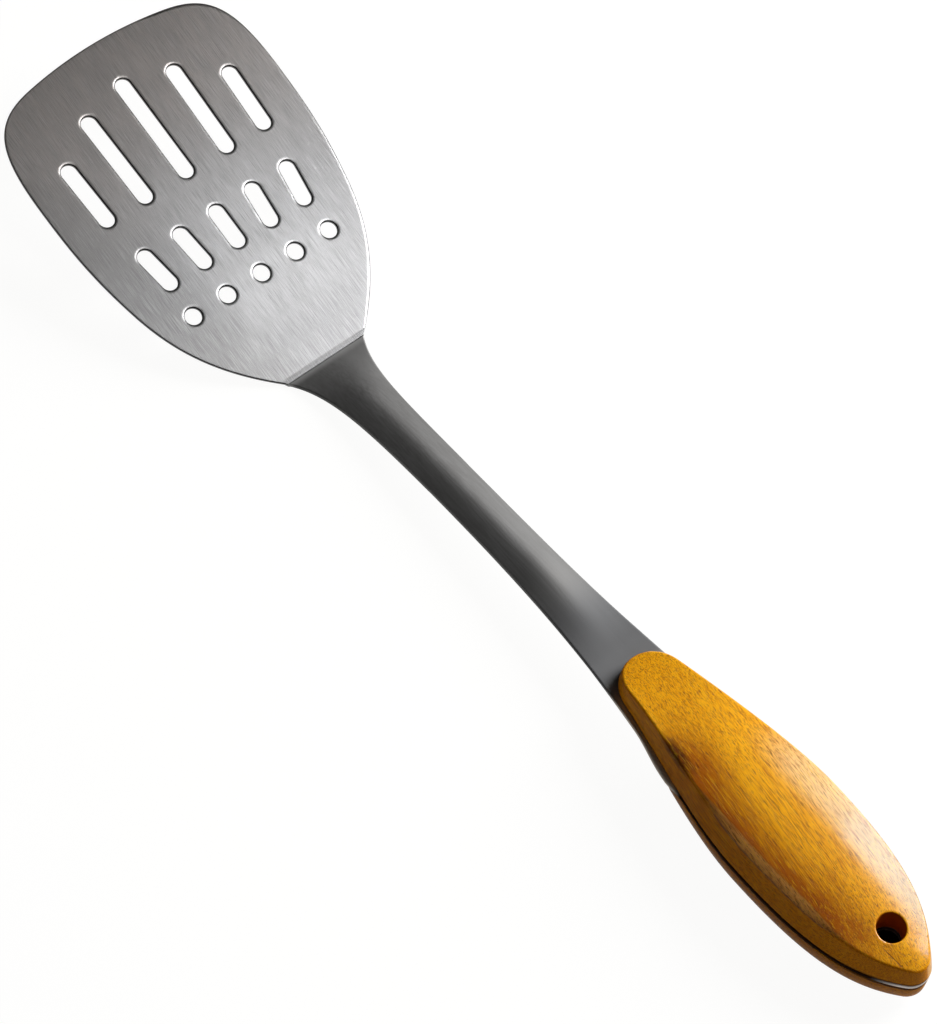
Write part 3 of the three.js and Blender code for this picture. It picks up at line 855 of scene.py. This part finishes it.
def strip_top(plan):
    """Height of the strip's upper face: the climb along its length, and the arch across it."""
    x, y = plan[:, 0], plan[:, 1]
    across = np.abs(y) / np.maximum(np.interp(x, strip_side[:, 0], strip_side[:, 1]), SHEET)
    ridge = (np.hypot(across, ARCH_ROUND) - ARCH_ROUND) / (math.hypot(1.0, ARCH_ROUND) - ARCH_ROUND)
    arch = ARCH_RISE * smoothstep(x, *ARCH_GROWS) * (1 - smoothstep(x, *ARCH_FADES))
    return np.interp(x, profile[:, 0], profile[:, 1]) + arch * np.clip(1 - ridge, 0.0, 1.0)


def strip_bottom(plan):
    """Height of the lower face. The mitred heel is a little deeper than the sheet."""
    depth = SHEET + (SHEET / math.cos(BLADE_PITCH) - SHEET) * (1 - smoothstep(plan[:, 0], *MITRE_FADES))
    return strip_top(plan) - depth


def strip_walls():
    """Rings round the strip's edge and round the hanging hole."""
    loop = cut_long(np.concatenate([mirrored(strip_side)[::-1], strip_side[-2::-1]]), EDGE_STEP)
    radius = np.where(loop[:, 0] < HEEL_TOLERANCE, WELD_RADIUS, STRIP_RADIUS)
    proud = proud_share(loop[:, 0])
    hole = round_loop((HANDLE_FRONT + HANGING_HOLE_AT, 0.0), HANGING_HOLE_RADIUS, HANGING_HOLE_SIDES)
    return [rolled_rings(loop, strip_top, strip_bottom, radius + PROUD_WIDTH * proud,
                         radius + PROUD_DROP * proud, radius),
            rolled_rings(hole, strip_top, strip_bottom, WELD_RADIUS, WELD_RADIUS, WELD_RADIUS, steps=1)]


strip = raise_piece("shank_and_tang_strip", strip_walls(), strip_top, strip_bottom, STRIP_NET,
                    Matrix.Translation(HEEL))

# %% [markdown]
# ## Satin steel
# The shank is finer than the blade: a soft, almost even satin that was polished along its length. It takes
# the same recipe with weaker hairs and a broader gloss. It is painted darker by the handle and on its far
# flank, painted shade where the lamp's reflection would be too bright. By the heel the near flank is painted
# dark and the far one light, painted shade and light, and the last few millimetres fade into the blade. Where
# its edge runs between the wooden halves it is stained by the glue. Beside the front of the wood the edge is
# painted lighter and browner, painted light on an edge in the wood's shade, and at the butt it is painted
# brighter than steel: partly clean metal, partly a painted glint.

# %% Satin finish for the shank
DARK_SATIN, LIGHT_SATIN = (0.225, 0.222, 0.217), (0.275, 0.273, 0.27)
CLOUDED_SATIN, FAR_FLANK_SHADE_SATIN = (0.205, 0.201, 0.196), (0.16, 0.158, 0.155)
HANDLE_SHADE_SATIN, BLADE_SATIN = (0.15, 0.152, 0.157), (0.62, 0.615, 0.61)
NEAR_HEEL_SHADE_SATIN, FAR_HEEL_LIGHT_SATIN = (0.11, 0.109, 0.107), (0.40, 0.395, 0.39)
LIT_EDGE_SATIN, SANDED_AND_GLINT_SATIN = (0.66, 0.57, 0.48), (0.95, 0.88, 0.82)
GLUE_STAIN = (0.035, 0.012, 0.004)
STAIN_FROM, STAIN_TO = 167.0, 240.0
STAIN_FADE = 4.0
BLADE_FADE, HEEL_SHADE, HANDLE_SHADE = (0.0, 2.8), (4.0, 24.0), (98.0, 116.0)
HEEL_NEAR, HEEL_FAR, FAR_FLANK = (-9.0, 0.0), (-1.0, 6.0), (0.5, 3.5)
LIT_EDGE_FROM, LIT_EDGE_TILT = (132.0, 142.0), (-0.75, -0.35)


def satin_steel():
    """Darker satin steel with faint marks along X, a stained edge between the scales, and painted light and
    shade.
    """
    material, tree, shader = new_material("satin_steel")
    place = surface_mm(tree)
    along, across, _ = axes(tree, place)
    facing = axes(tree, node(tree, "ShaderNodeTexCoord").outputs["Normal"])["Z"]
    marks = streaks(tree, place, 22.0, 0.5)
    clouds = streaks(tree, place, 30.0, 6.0, shift=3.0)
    by_heel = spread(tree, along, *HEEL_SHADE, 1.0, 0.0)
    lit_edge = times(tree, spread(tree, along, *LIT_EDGE_FROM), spread(tree, facing, *LIT_EDGE_TILT))
    stain = times(tree, spread(tree, along, STAIN_FROM, STAIN_FROM + STAIN_FADE),
                  spread(tree, along, STAIN_TO, STAIN_TO + 2 * STAIN_FADE, 1.0, 0.0))
    tone = layered(
        tree, blend(tree, spread(tree, marks, 0.3, 0.7), DARK_SATIN, LIGHT_SATIN),
        (spread(tree, clouds, 0.3, 0.7, 0.0, 0.4), CLOUDED_SATIN),
        # painted shade: the far flank is painted darker
        (spread(tree, across, *FAR_FLANK, 0.0, 0.3), FAR_FLANK_SHADE_SATIN),
        # painted shade: the shank is painted darker by the handle
        (spread(tree, along, *HANDLE_SHADE, 0.0, 0.8), HANDLE_SHADE_SATIN),
        # painted shade and painted light: by the heel the near flank is painted dark and the far one light
        (times(tree, by_heel, spread(tree, across, *HEEL_NEAR, 0.55, 0.0)), NEAR_HEEL_SHADE_SATIN),
        (times(tree, by_heel, spread(tree, across, *HEEL_FAR, 0.0, 0.6)), FAR_HEEL_LIGHT_SATIN),
        (spread(tree, along, *BLADE_FADE, 0.6, 0.0), BLADE_SATIN),
        # painted light: beside the front of the wood the edge is painted lighter and browner
        (lit_edge, LIT_EDGE_SATIN),
        # partly clean metal, partly painted glint: the butt end of the edge is painted brighter than steel
        (spread(tree, along, STAIN_TO - STAIN_FADE, STAIN_TO + STAIN_FADE), SANDED_AND_GLINT_SATIN),
        (stain, GLUE_STAIN))
    gloss = calculate(tree, "MAXIMUM", spread(tree, marks, 0.2, 0.8, 0.62, 0.68), times(tree, stain, 0.8))
    feed(tree, shader, {
        "Base Color": tone, "Metallic": calculate(tree, "SUBTRACT", 1.0, stain), "Roughness": gloss,
        "Normal": relief(tree, marks, 0.06), "IOR": 1.1})
    return material


dress(strip, "shank_and_tang", satin_steel())

# %% [markdown]
# ## The wooden halves
# Each half is a slab on the handle's outline. The upper one has leaning walls, a crisp crease, and a gently
# crowned top. On the near side the thumb has worn the crease down to a slanting facet. The lower one is a
# rounded belly. Both thin out towards nose and butt. The height over the plan needs to know how far out a
# point lies between the middle and the edge, in a way that also closes the ends, so a search finds the
# scaled-down outline that the point is on.

# %% Heights of the wooden halves
END_PULL = 0.16
NOSE_PULL = 5.2
NOSE_DROP = 0.56
NOSE_FADE = 12.5
BUTT_DROP = 0.38
BUTT_DROP_FROM = 72.8
BUTT_DROP_LENGTH = 46.0
SEARCH_STEPS = 24


def height_share(x, setback):
    """The share of its full height that a half has at x."""
    fall = np.maximum(0.0, (x - BUTT_DROP_FROM) / BUTT_DROP_LENGTH)
    return 1 - NOSE_DROP * np.exp((setback - x) / NOSE_FADE) - BUTT_DROP * fall ** 2


def scale_outline(setback):
    """The outline of one half, which starts this far behind the handle's front with a round nose."""
    join = int(np.argmax(flank[:, 0] >= setback + NOSE[0]))
    slope = (flank[join + 1] - flank[join]) / (flank[join + 1, 0] - flank[join, 0])
    nose = bezier((setback, 0.0), (setback, NOSE_PULL), flank[join] - NOSE_PULL * slope, flank[join], 20)
    half = np.concatenate([nose, flank[join:]])
    return cut_long(np.concatenate([half[::-1], mirrored(half)[::-1][1:-1]]), EDGE_STEP)


def scaled(loop, share):
    """The outline drawn in to this share of its width, with its ends drawn in less."""
    drawn = (HANDLE_WIDEST - loop[:, 0]) * END_PULL * (1 - share)
    return np.column_stack([loop[:, 0] + drawn, loop[:, 1] * share])


def outwardness(plan, loop):
    """0 on the middle line, 1 on the loop: the share whose scaled outline passes through each point."""
    side = loop[loop[:, 1] >= 0]
    side = side[np.argsort(side[:, 0])]
    low, high = np.zeros(len(plan)), np.ones(len(plan))
    for _ in range(SEARCH_STEPS):
        share = (low + high) / 2
        pull = END_PULL * (1 - share)
        x = (plan[:, 0] - HANDLE_WIDEST * pull) / (1 - pull)
        reach = share * np.interp(x, side[:, 0], side[:, 1], left=-1.0, right=-1.0)
        within = np.abs(plan[:, 1]) <= reach
        high, low = np.where(within, share, high), np.where(within, low, share)
    return (low + high) / 2


widest_share = float(height_share(np.array(HANDLE_WIDEST), 0.0))
print("where the handle is widest it has", round(widest_share, 3), "of its full height")

# %% Draw the upper half's crease and crown
UPPER_SIDE = 9.3
UPPER_CROWN = 2.0
LEAN_FRONT, LEAN_BACK = math.radians(5), math.radians(10.8)
LEAN_GROWS = (0.0, 55.0)
CROWN_GROWS, CROWN_FADES = (12.0, 52.0), (86.0, 112.0)
CROWN_LOSS = 0.5

upper_edge = scale_outline(0.0)
upper_side = UPPER_SIDE * height_share(upper_edge[:, 0], 0.0)
upper_lean = LEAN_FRONT + (LEAN_BACK - LEAN_FRONT) * smoothstep(upper_edge[:, 0], *LEAN_GROWS)
crease = inward(upper_edge, upper_side * np.tan(upper_lean))


def upper_top(plan):
    """Height of the crowned top over the glued face."""
    x = plan[:, 0]
    crown = UPPER_CROWN * smoothstep(x, *CROWN_GROWS) * (1 - CROWN_LOSS * smoothstep(x, *CROWN_FADES))
    return height_share(x, 0.0) * (UPPER_SIDE + crown * (1 - outwardness(plan, crease) ** 2))


crown_height = upper_top(np.array([(HANDLE_WIDEST, 0.0)]))[0]
print("the crowned top is", round(crown_height, 2), "mm over the glued face where it is widest")

# %% Raise the upper half
GLUE = 0.35
UPPER_NET = 1.4
WALL_CLIMBS = (0.0, 0.2, 0.4, 0.6, 0.8, 0.95)
CREASE_RADIUS = 0.7
CREASE_STEPS = 6
FACET_WIDTH = 2.6
FACET_DROP = 1.0
FACET_CURVE = ((0.0, 1.0), (0.33, 0.6), (0.66, 0.2), (1.0, 0.0))
WORN_FROM, WORN_TO = (38.0, 60.0), (84.0, 104.0)
NEAR_SIDE_ENDS = (-6.0, 6.0)
SEAM_RADIUS = 0.2
HOLE_RIM = 0.45


def hanging_hole(top):
    """Rings up the bore, with its upper rim eased."""
    loop = round_loop((HANGING_HOLE_AT, 0.0), HANGING_HOLE_RADIUS, HANGING_HOLE_SIDES)
    return [ring(loop, 0.0), *rim_rings(loop, top, HOLE_RIM, HOLE_RIM)]


def worn_share(x):
    """1 on the stretch of the handle that the thumb has worn round, 0 at its ends."""
    return smoothstep(x, *WORN_FROM) * (1 - smoothstep(x, *WORN_TO))


def upper_walls():
    """Rings up the leaning wall and over the crease, which is worn to a facet near us, and the bore."""
    worn = worn_share(upper_edge[:, 0]) * (1 - smoothstep(upper_edge[:, 1], *NEAR_SIDE_ENDS))
    head = upper_top(crease) - CREASE_RADIUS - (FACET_DROP - CREASE_RADIUS) * worn
    rings = [ring(inward(upper_edge, SEAM_RADIUS), 0.0)]
    for climb in WALL_CLIMBS:
        rings.append(ring(upper_edge + (crease - upper_edge) * climb,
                          SEAM_RADIUS + (head - SEAM_RADIUS) * climb))
    facet = np.concatenate([bezier(*FACET_CURVE, CREASE_STEPS), FACET_CURVE[-1:]])
    for turn, (reach, fall) in zip(np.linspace(0.0, math.pi / 2, CREASE_STEPS + 1), facet):
        inset = CREASE_RADIUS * (1 - math.cos(turn)) * (1 - worn) + FACET_WIDTH * reach * worn
        sink = CREASE_RADIUS * (1 - math.sin(turn)) * (1 - worn) + FACET_DROP * fall * worn
        plan = inward(crease, inset)
        rings.append(ring(plan, upper_top(plan) - sink))
    guard = inward(crease, CREASE_RADIUS + (FACET_WIDTH - CREASE_RADIUS) * worn + GUARD)
    return [[*rings, ring(guard, upper_top(guard))], hanging_hole(upper_top)]


upper = raise_piece("upper_grip", upper_walls(), upper_top, flat_face, UPPER_NET,
                    Matrix.Translation(HEEL + Vector((HANDLE_FRONT, 0.0, TANG_TOP + GLUE)) * MM))

# %% Raise the lower half
LOWER_SETBACK = 24.0
LOWER_SIDE_FRONT = 2.6
LOWER_SIDE_BACK = 5.0
LOWER_LEAN = math.radians(3)
LOWER_DEPTH = 10.706
LOWER_NET = 1.6
BELLY_SHARES = np.cos(np.linspace(0.0, math.radians(46), 9))

lower_edge = scale_outline(LOWER_SETBACK)


def lower_side(x):
    """Depth of the lower half's upright wall."""
    return LOWER_SIDE_FRONT + (LOWER_SIDE_BACK - LOWER_SIDE_FRONT) * x / HANDLE_LENGTH


turn_edge = inward(lower_edge, lower_side(lower_edge[:, 0]) * math.tan(LOWER_LEAN))


def belly(x, outward):
    """Depth of the belly at x, from the middle line (0) out to the wall (1)."""
    round_part = (LOWER_DEPTH - lower_side(x)) * height_share(x, LOWER_SETBACK)
    return lower_side(x) + round_part * np.sqrt(np.clip(1 - outward ** 2, 0.0, 1.0))


def lower_top(plan):
    """Depth of the belly over the plan."""
    return belly(plan[:, 0], outwardness(plan, turn_edge))


def lower_walls():
    """Rings up the wall and round the turn of the belly, and the bore."""
    rings = [ring(inward(lower_edge, SEAM_RADIUS), 0.0), ring(lower_edge, SEAM_RADIUS)]
    for share in BELLY_SHARES:
        plan = scaled(turn_edge, share)
        rings.append(ring(plan, belly(plan[:, 0], share)))
    return [rings, hanging_hole(lower_top)]


lower = raise_piece("lower_grip", lower_walls(), lower_top, flat_face, LOWER_NET,
                    Matrix.Translation(HEEL + Vector((HANDLE_FRONT, 0.0, TANG_TOP - SHEET - GLUE)) * MM)
                    @ Matrix.Rotation(math.pi, 4, "X"))

# %% [markdown]
# ## Golden hardwood
# The wood is a honey-coloured hardwood with short dark pores, a reddish heart along the near side that starts
# at a dark knot, and a short crack by the butt. The far side is painted pale and greyish: partly sapwood, and
# partly a painted sheen. A photograph of wood could be wrapped round it, but a solid texture is better here:
# it is worked out in three dimensions, so that the pores run on over the crease as in a real block. Layers of
# stretched noise give the drift of tone, the fibres and the pores. The crown has a clear satin lacquer. The
# walls that face us have only oil, which leaves them darker and without a sheen, and towards the butt they
# are painted darker still, painted shade. Along the near crease that the thumb has worn, the wood is painted
# pale,
# a painted sheen: each point of the mesh carries a number that says how much sheen it gets. The bore is
# painted dark as painted shade; in the upper half its brown is partly the end grain's own tone. Along the
# seam at the butt the wood is darker.

# %% Find the heart, the knot and the bore
HEART_STARTS, HEART_ENDS = (25.0, 32.0), (90.0, 116.0)
HEART_FLANK, HEART_TURNS = (-14.0, -2.0), (70.0, 92.0)
THROUGH = 1e6
BORE_SKIN = (0.02, 0.2)


def heart_share(tree, along, across, grain):
    """How much of the reddish heart is at a place: along the near side, from a quarter of the length on."""
    wander = streaks(tree, grain, 24.0, 1.6, detail=3.0, shift=31.0)
    across = calculate(tree, "ADD", across, spread(tree, along, *HEART_TURNS, 1.0, -3.0))
    across = calculate(tree, "ADD", across, spread(tree, wander, 0.2, 0.8, -2.5, 2.5))
    along = calculate(tree, "ADD", along, spread(tree, wander, 0.2, 0.8, -4.0, 4.0))
    lengthwise = times(tree, spread(tree, along, *HEART_STARTS), spread(tree, along, *HEART_ENDS, 1.0, 0.5))
    return times(tree, spread(tree, across, *HEART_FLANK, 1.0, 0.0), lengthwise)


def patch_share(tree, place, middle, size, soft, turn=0.0):
    """1 on a long thin patch that goes through the wood, and 0 outside it, with a soft rim."""
    moved = node(tree, "ShaderNodeMapping", {
        "Vector": place, "Location": (*middle, 0.0), "Rotation": (0.0, 0.0, turn),
        "Scale": (*size, THROUGH)}, vector_type="TEXTURE").outputs[0]
    away = node(tree, "ShaderNodeVectorMath", {0: moved}, operation="LENGTH").outputs["Value"]
    return spread(tree, away, 1.0 - soft, 1.0, 1.0, 0.0)


def bore_share(tree, along, across):
    """1 on the wall of the hanging hole, 0 outside it."""
    along = calculate(tree, "SUBTRACT", along, HANGING_HOLE_AT)
    squared = calculate(tree, "ADD", times(tree, along, along), times(tree, across, across))
    inner, outer = ((HANGING_HOLE_RADIUS + skin) ** 2 for skin in BORE_SKIN)
    return spread(tree, squared, inner, outer, 1.0, 0.0)


print("the heart starts", HEART_STARTS[0], "to", HEART_STARTS[1], "mm behind the handle's front")

# %% Grow the wood
DARK_HONEY, LIGHT_HONEY = (0.86, 0.36, 0.004), (0.95, 0.43, 0.007)
MIDDLE_SAPWOOD_SHEEN, BUTT_SAPWOOD_SHEEN = (0.92, 0.60, 0.26), (0.36, 0.27, 0.10)
HEARTWOOD, CREASE_SHEEN_WOOD = (0.36, 0.08, 0.002), (1.0, 0.46, 0.115)
OILED_WOOD, OILED_BUTT_SHADE = (0.78, 0.235, 0.003), (0.42, 0.12, 0.002)
DARK_FIBRE, LIGHT_FIBRE = (0.42, 0.115, 0.002), (1.0, 0.53, 0.02)
PORE, DARK_SEAM_WOOD = (0.13, 0.03, 0.002), (0.02, 0.006, 0.002)
SAPWOOD_FLANK, SAPWOOD_STARTS, SAPWOOD_DARKENS = (3.0, 11.0), (36.0, 56.0), (62.0, 84.0)
BUTT_STARTS, SEAM_BAND = (94.0, 114.0), (0.3, 0.8)
OILED_HEART, OILED_SHARE = 0.35, 0.75
CRACK_PLACE, CRACK_SIZE = (110.4, -5.0), (4.6, 0.16)
CRACK_TURN = math.radians(8.0)
GRAIN_TURN = math.radians(6.7)
KNOT, KNOT_SIZE = (0.05, 0.007, 0.001), (10.0, 2.8)
KNOT_AT, KNOT_DEPTH = (32.0, -11.4), (6.2, 7.8)
HALO, HALO_SIZE = (0.42, 0.095, 0.002), (19.0, 9.5)
HALO_SHIFT = (6.0, 2.6)
KNOT_PLACE = np.array(((math.cos(GRAIN_TURN), -math.sin(GRAIN_TURN)),
                       (math.sin(GRAIN_TURN), math.cos(GRAIN_TURN)))) @ KNOT_AT
LACQUER_WEIGHT, LACQUER_ROUGHNESS = 0.72, 0.16


def hardwood(name, side, bore, ior, lacquered=False):
    """Honey wood with its grain along the handle. side is -1 on the half that lies upside down."""
    material, tree, shader = new_material(name)
    place, grain = surface_mm(tree), surface_mm(tree, GRAIN_TURN * side)
    along, across, height = axes(tree, place)
    far = times(tree, across, side)
    heart_depth, oiled = (1.0, 0.0) if lacquered else (OILED_HEART, OILED_SHARE)
    drift = streaks(tree, grain, 60.0, 6.0, detail=3.0)
    fibres = streaks(tree, grain, 9.0, 0.32, detail=3.0, rough=0.8, shift=11.0)
    fine_pores = streaks(tree, grain, 3.2, 0.18, detail=1.0, shift=23.0)
    bold_pores = streaks(tree, grain, 4.0, 0.2, detail=1.0, shift=41.0)
    pores = calculate(tree, "MAXIMUM", spread(tree, fine_pores, 0.57, 0.66, 0.0, 0.6),
                      spread(tree, bold_pores, 0.65, 0.70))
    pores = times(tree, pores, 1.0 - 0.7 * oiled)
    halo, knot = 0.0, 0.0
    if side > 0:
        halo = times(tree, patch_share(tree, grain, KNOT_PLACE + HALO_SHIFT, HALO_SIZE, 0.9), 0.8)
        knot = times(tree, patch_share(tree, grain, KNOT_PLACE, KNOT_SIZE, 0.8),
                     spread(tree, height, *KNOT_DEPTH))
        crack = patch_share(tree, place, CRACK_PLACE, CRACK_SIZE, 0.4, CRACK_TURN)
        pores = calculate(tree, "MAXIMUM", pores, crack)
    sapwood_sheen = times(tree, spread(tree, far, *SAPWOOD_FLANK, 0.0, 0.8), spread(tree, along, *SAPWOOD_STARTS))
    by_butt = spread(tree, along, *BUTT_STARTS)
    by_seam = spread(tree, height, *SEAM_BAND, 1.0, 0.0)
    tone = layered(
        tree, blend(tree, spread(tree, drift, 0.32, 0.68), DARK_HONEY, LIGHT_HONEY),
        # partly sapwood, partly painted sheen: the far side is painted pale and greyish, darker towards the
        # butt
        (sapwood_sheen, blend(tree, spread(tree, along, *SAPWOOD_DARKENS), MIDDLE_SAPWOOD_SHEEN, BUTT_SAPWOOD_SHEEN)),
        (times(tree, heart_share(tree, along, far, grain), heart_depth), HEARTWOOD),
        (halo, HALO),
        (oiled, OILED_WOOD),
        # painted shade: the oiled walls are painted darker towards the butt
        (times(tree, by_butt, 0.5 * oiled), OILED_BUTT_SHADE),
        (knot, KNOT),
        # painted sheen: the worn near crease is painted pale
        (node(tree, "ShaderNodeAttribute", attribute_name="worn").outputs["Fac"], CREASE_SHEEN_WOOD),
        (spread(tree, fibres, 0.5, 0.64, 0.0, 0.75), DARK_FIBRE),
        (spread(tree, fibres, 0.36, 0.48, 0.5, 0.0), LIGHT_FIBRE),
        (times(tree, pores, 0.9), PORE),
        # the wood is darker along the seam at the butt
        (times(tree, times(tree, by_butt, by_seam), oiled), DARK_SEAM_WOOD),
        # painted shade: the bore is painted dark, the lower one near black
        (bore_share(tree, along, across), bore))
    ups_and_downs = calculate(tree, "SUBTRACT", times(tree, fibres, 0.4), pores)
    feed(tree, shader, {
        "Base Color": tone, "Roughness": spread(tree, fibres, 0.3, 0.7, 0.26, 0.36),
        "Normal": relief(tree, ups_and_downs, 0.45), "IOR": ior})
    if lacquered:
        feed(tree, shader, {"Coat Weight": LACQUER_WEIGHT, "Coat Roughness": LACQUER_ROUGHNESS})
    return material


print("wood grain is turned by", round(math.degrees(GRAIN_TURN), 1), "degrees")

# %% Finish the two halves
LACQUERED, OILED, BARE = 0, 1, 2
LACQUERED_IOR, BARE_IOR = 1.2, 1.0
UPPER_WALL_IOR, LOWER_WALL_IOR = 1.1, 1.25
LIT_SIDE = 0.2
CREASE_SHEEN_MOST = 0.85
WORN_TILTS = ((0.5, 0.72), (0.89, 0.955))
OILED_ENDS, OILED_MIDDLE = 0.85, 0.6
BORE_REACH = 0.1
SHADED_UPPER_BORE, SHADED_LOWER_BORE = (0.40, 0.12, 0.008), (0.012, 0.005, 0.002)


def mark_crease_sheen(piece, most):
    """Writes on each point how much painted sheen it gets: most where the near crease leans over."""
    worn = piece.data.attributes.new("worn", "FLOAT", "POINT")
    for point in piece.data.vertices:
        begins, ends = (smoothstep(point.normal.z, *tilts) for tilts in WORN_TILTS)
        near = worn_share(point.co.x / MM) * (point.co.y < 0)
        worn.data[point.index].value = float(most * begins * (1 - ends) * near)


def finish_wood(piece, stands_for, name, side, bore, wall_ior):
    """Lacquers a half, and leaves the walls that face us with oil alone and the bore bare, its colour painted
    dark as painted shade.
    """
    dress(piece, stands_for,
          hardwood(name + "_lacquered", side, bore, LACQUERED_IOR, lacquered=True))
    piece.data.materials.append(hardwood(name + "_oiled", side, bore, wall_ior))
    piece.data.materials.append(hardwood(name + "_bare", side, bore, BARE_IOR))
    for face in piece.data.polygons:
        x, y = face.center.x / MM, face.center.y / MM
        upright = abs(face.normal.z) < OILED_ENDS + (OILED_MIDDLE - OILED_ENDS) * worn_share(x)
        in_bore = math.hypot(x - HANGING_HOLE_AT, y) < HANGING_HOLE_RADIUS + BORE_REACH
        faces_us = face.normal.y * side < LIT_SIDE
        face.material_index = BARE if in_bore else OILED if upright and faces_us else LACQUERED


finish_wood(upper, "upper_scale", "upper_wood", 1, SHADED_UPPER_BORE, UPPER_WALL_IOR)
finish_wood(lower, "lower_scale", "lower_wood", -1, SHADED_LOWER_BORE, LOWER_WALL_IOR)
mark_crease_sheen(upper, CREASE_SHEEN_MOST)
mark_crease_sheen(lower, 0.0)
for half in (upper, lower):
    oiled_faces = sum(face.material_index == OILED for face in half.data.polygons)
    print(half.name, "has", oiled_faces, "oiled faces")

# %% [markdown]
# ## Glue and pins
# The lines on both sides of the tang are cured glue, squeezed flush with the wood: brown where it was sanded
# thin along the sides, and nearly black at the front and the butt. Two steel pins sit blind inside the
# handle. The measured solids of these have the right shape already, so they only get a finish: a matt resin
# with a slight mottle, and drawn rod with rings from the drawing die.

# %% Finish the glue and the pins
SIDE_GLUE, LIGHT_SIDE_GLUE = (0.16, 0.05, 0.005), (0.28, 0.09, 0.008)
END_GLUE, LIGHT_END_GLUE = (0.012, 0.006, 0.003), (0.045, 0.02, 0.01)
DARK_ROD, LIGHT_ROD = (0.45, 0.45, 0.45), (0.62, 0.62, 0.61)
GLUE_START = HEEL.x / MM + HANDLE_FRONT
FRONT_GLUE_ENDS, BUTT_GLUE_STARTS = (24.0, 36.0), (96.0, 104.0)


def cured_glue():
    """Brown resin, sanded thin along the sides and nearly black at the front and the butt."""
    material, tree, shader = new_material("cured_glue")
    place = surface_mm(tree)
    mottle = streaks(tree, place, 3.0, 1.5)
    along = calculate(tree, "SUBTRACT", axes(tree, place)["X"], GLUE_START)
    ends = blend(tree, mottle, END_GLUE, LIGHT_END_GLUE)
    tone = layered(
        tree, blend(tree, mottle, SIDE_GLUE, LIGHT_SIDE_GLUE),
        (spread(tree, along, *BUTT_GLUE_STARTS), ends),
        (spread(tree, along, *FRONT_GLUE_ENDS, 1.0, 0.0), ends))
    feed(tree, shader, {
        "Base Color": tone, "Roughness": spread(tree, mottle, 0.3, 0.7, 0.45, 0.65), "IOR": 1.1})
    return material


def drawn_rod():
    """Plain steel rod with fine marks."""
    material, tree, shader = new_material("drawn_rod")
    marks = streaks(tree, surface_mm(tree), 0.3, 2.0)
    feed(tree, shader, {
        "Base Color": blend(tree, marks, DARK_ROD, LIGHT_ROD), "Metallic": 1.0,
        "Roughness": spread(tree, marks, 0.3, 0.7, 0.3, 0.45)})
    return material


def finish_solid(names, material):
    """Puts a finish on measured solids that keep their shape."""
    for name in names:
        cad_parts[name].material_slots[0].material = material
        print(name, "is finished in", material.name)


finish_solid(("upper_glue_line", "lower_glue_line"), cured_glue())
finish_solid(("front_pin", "rear_pin"), drawn_rod())
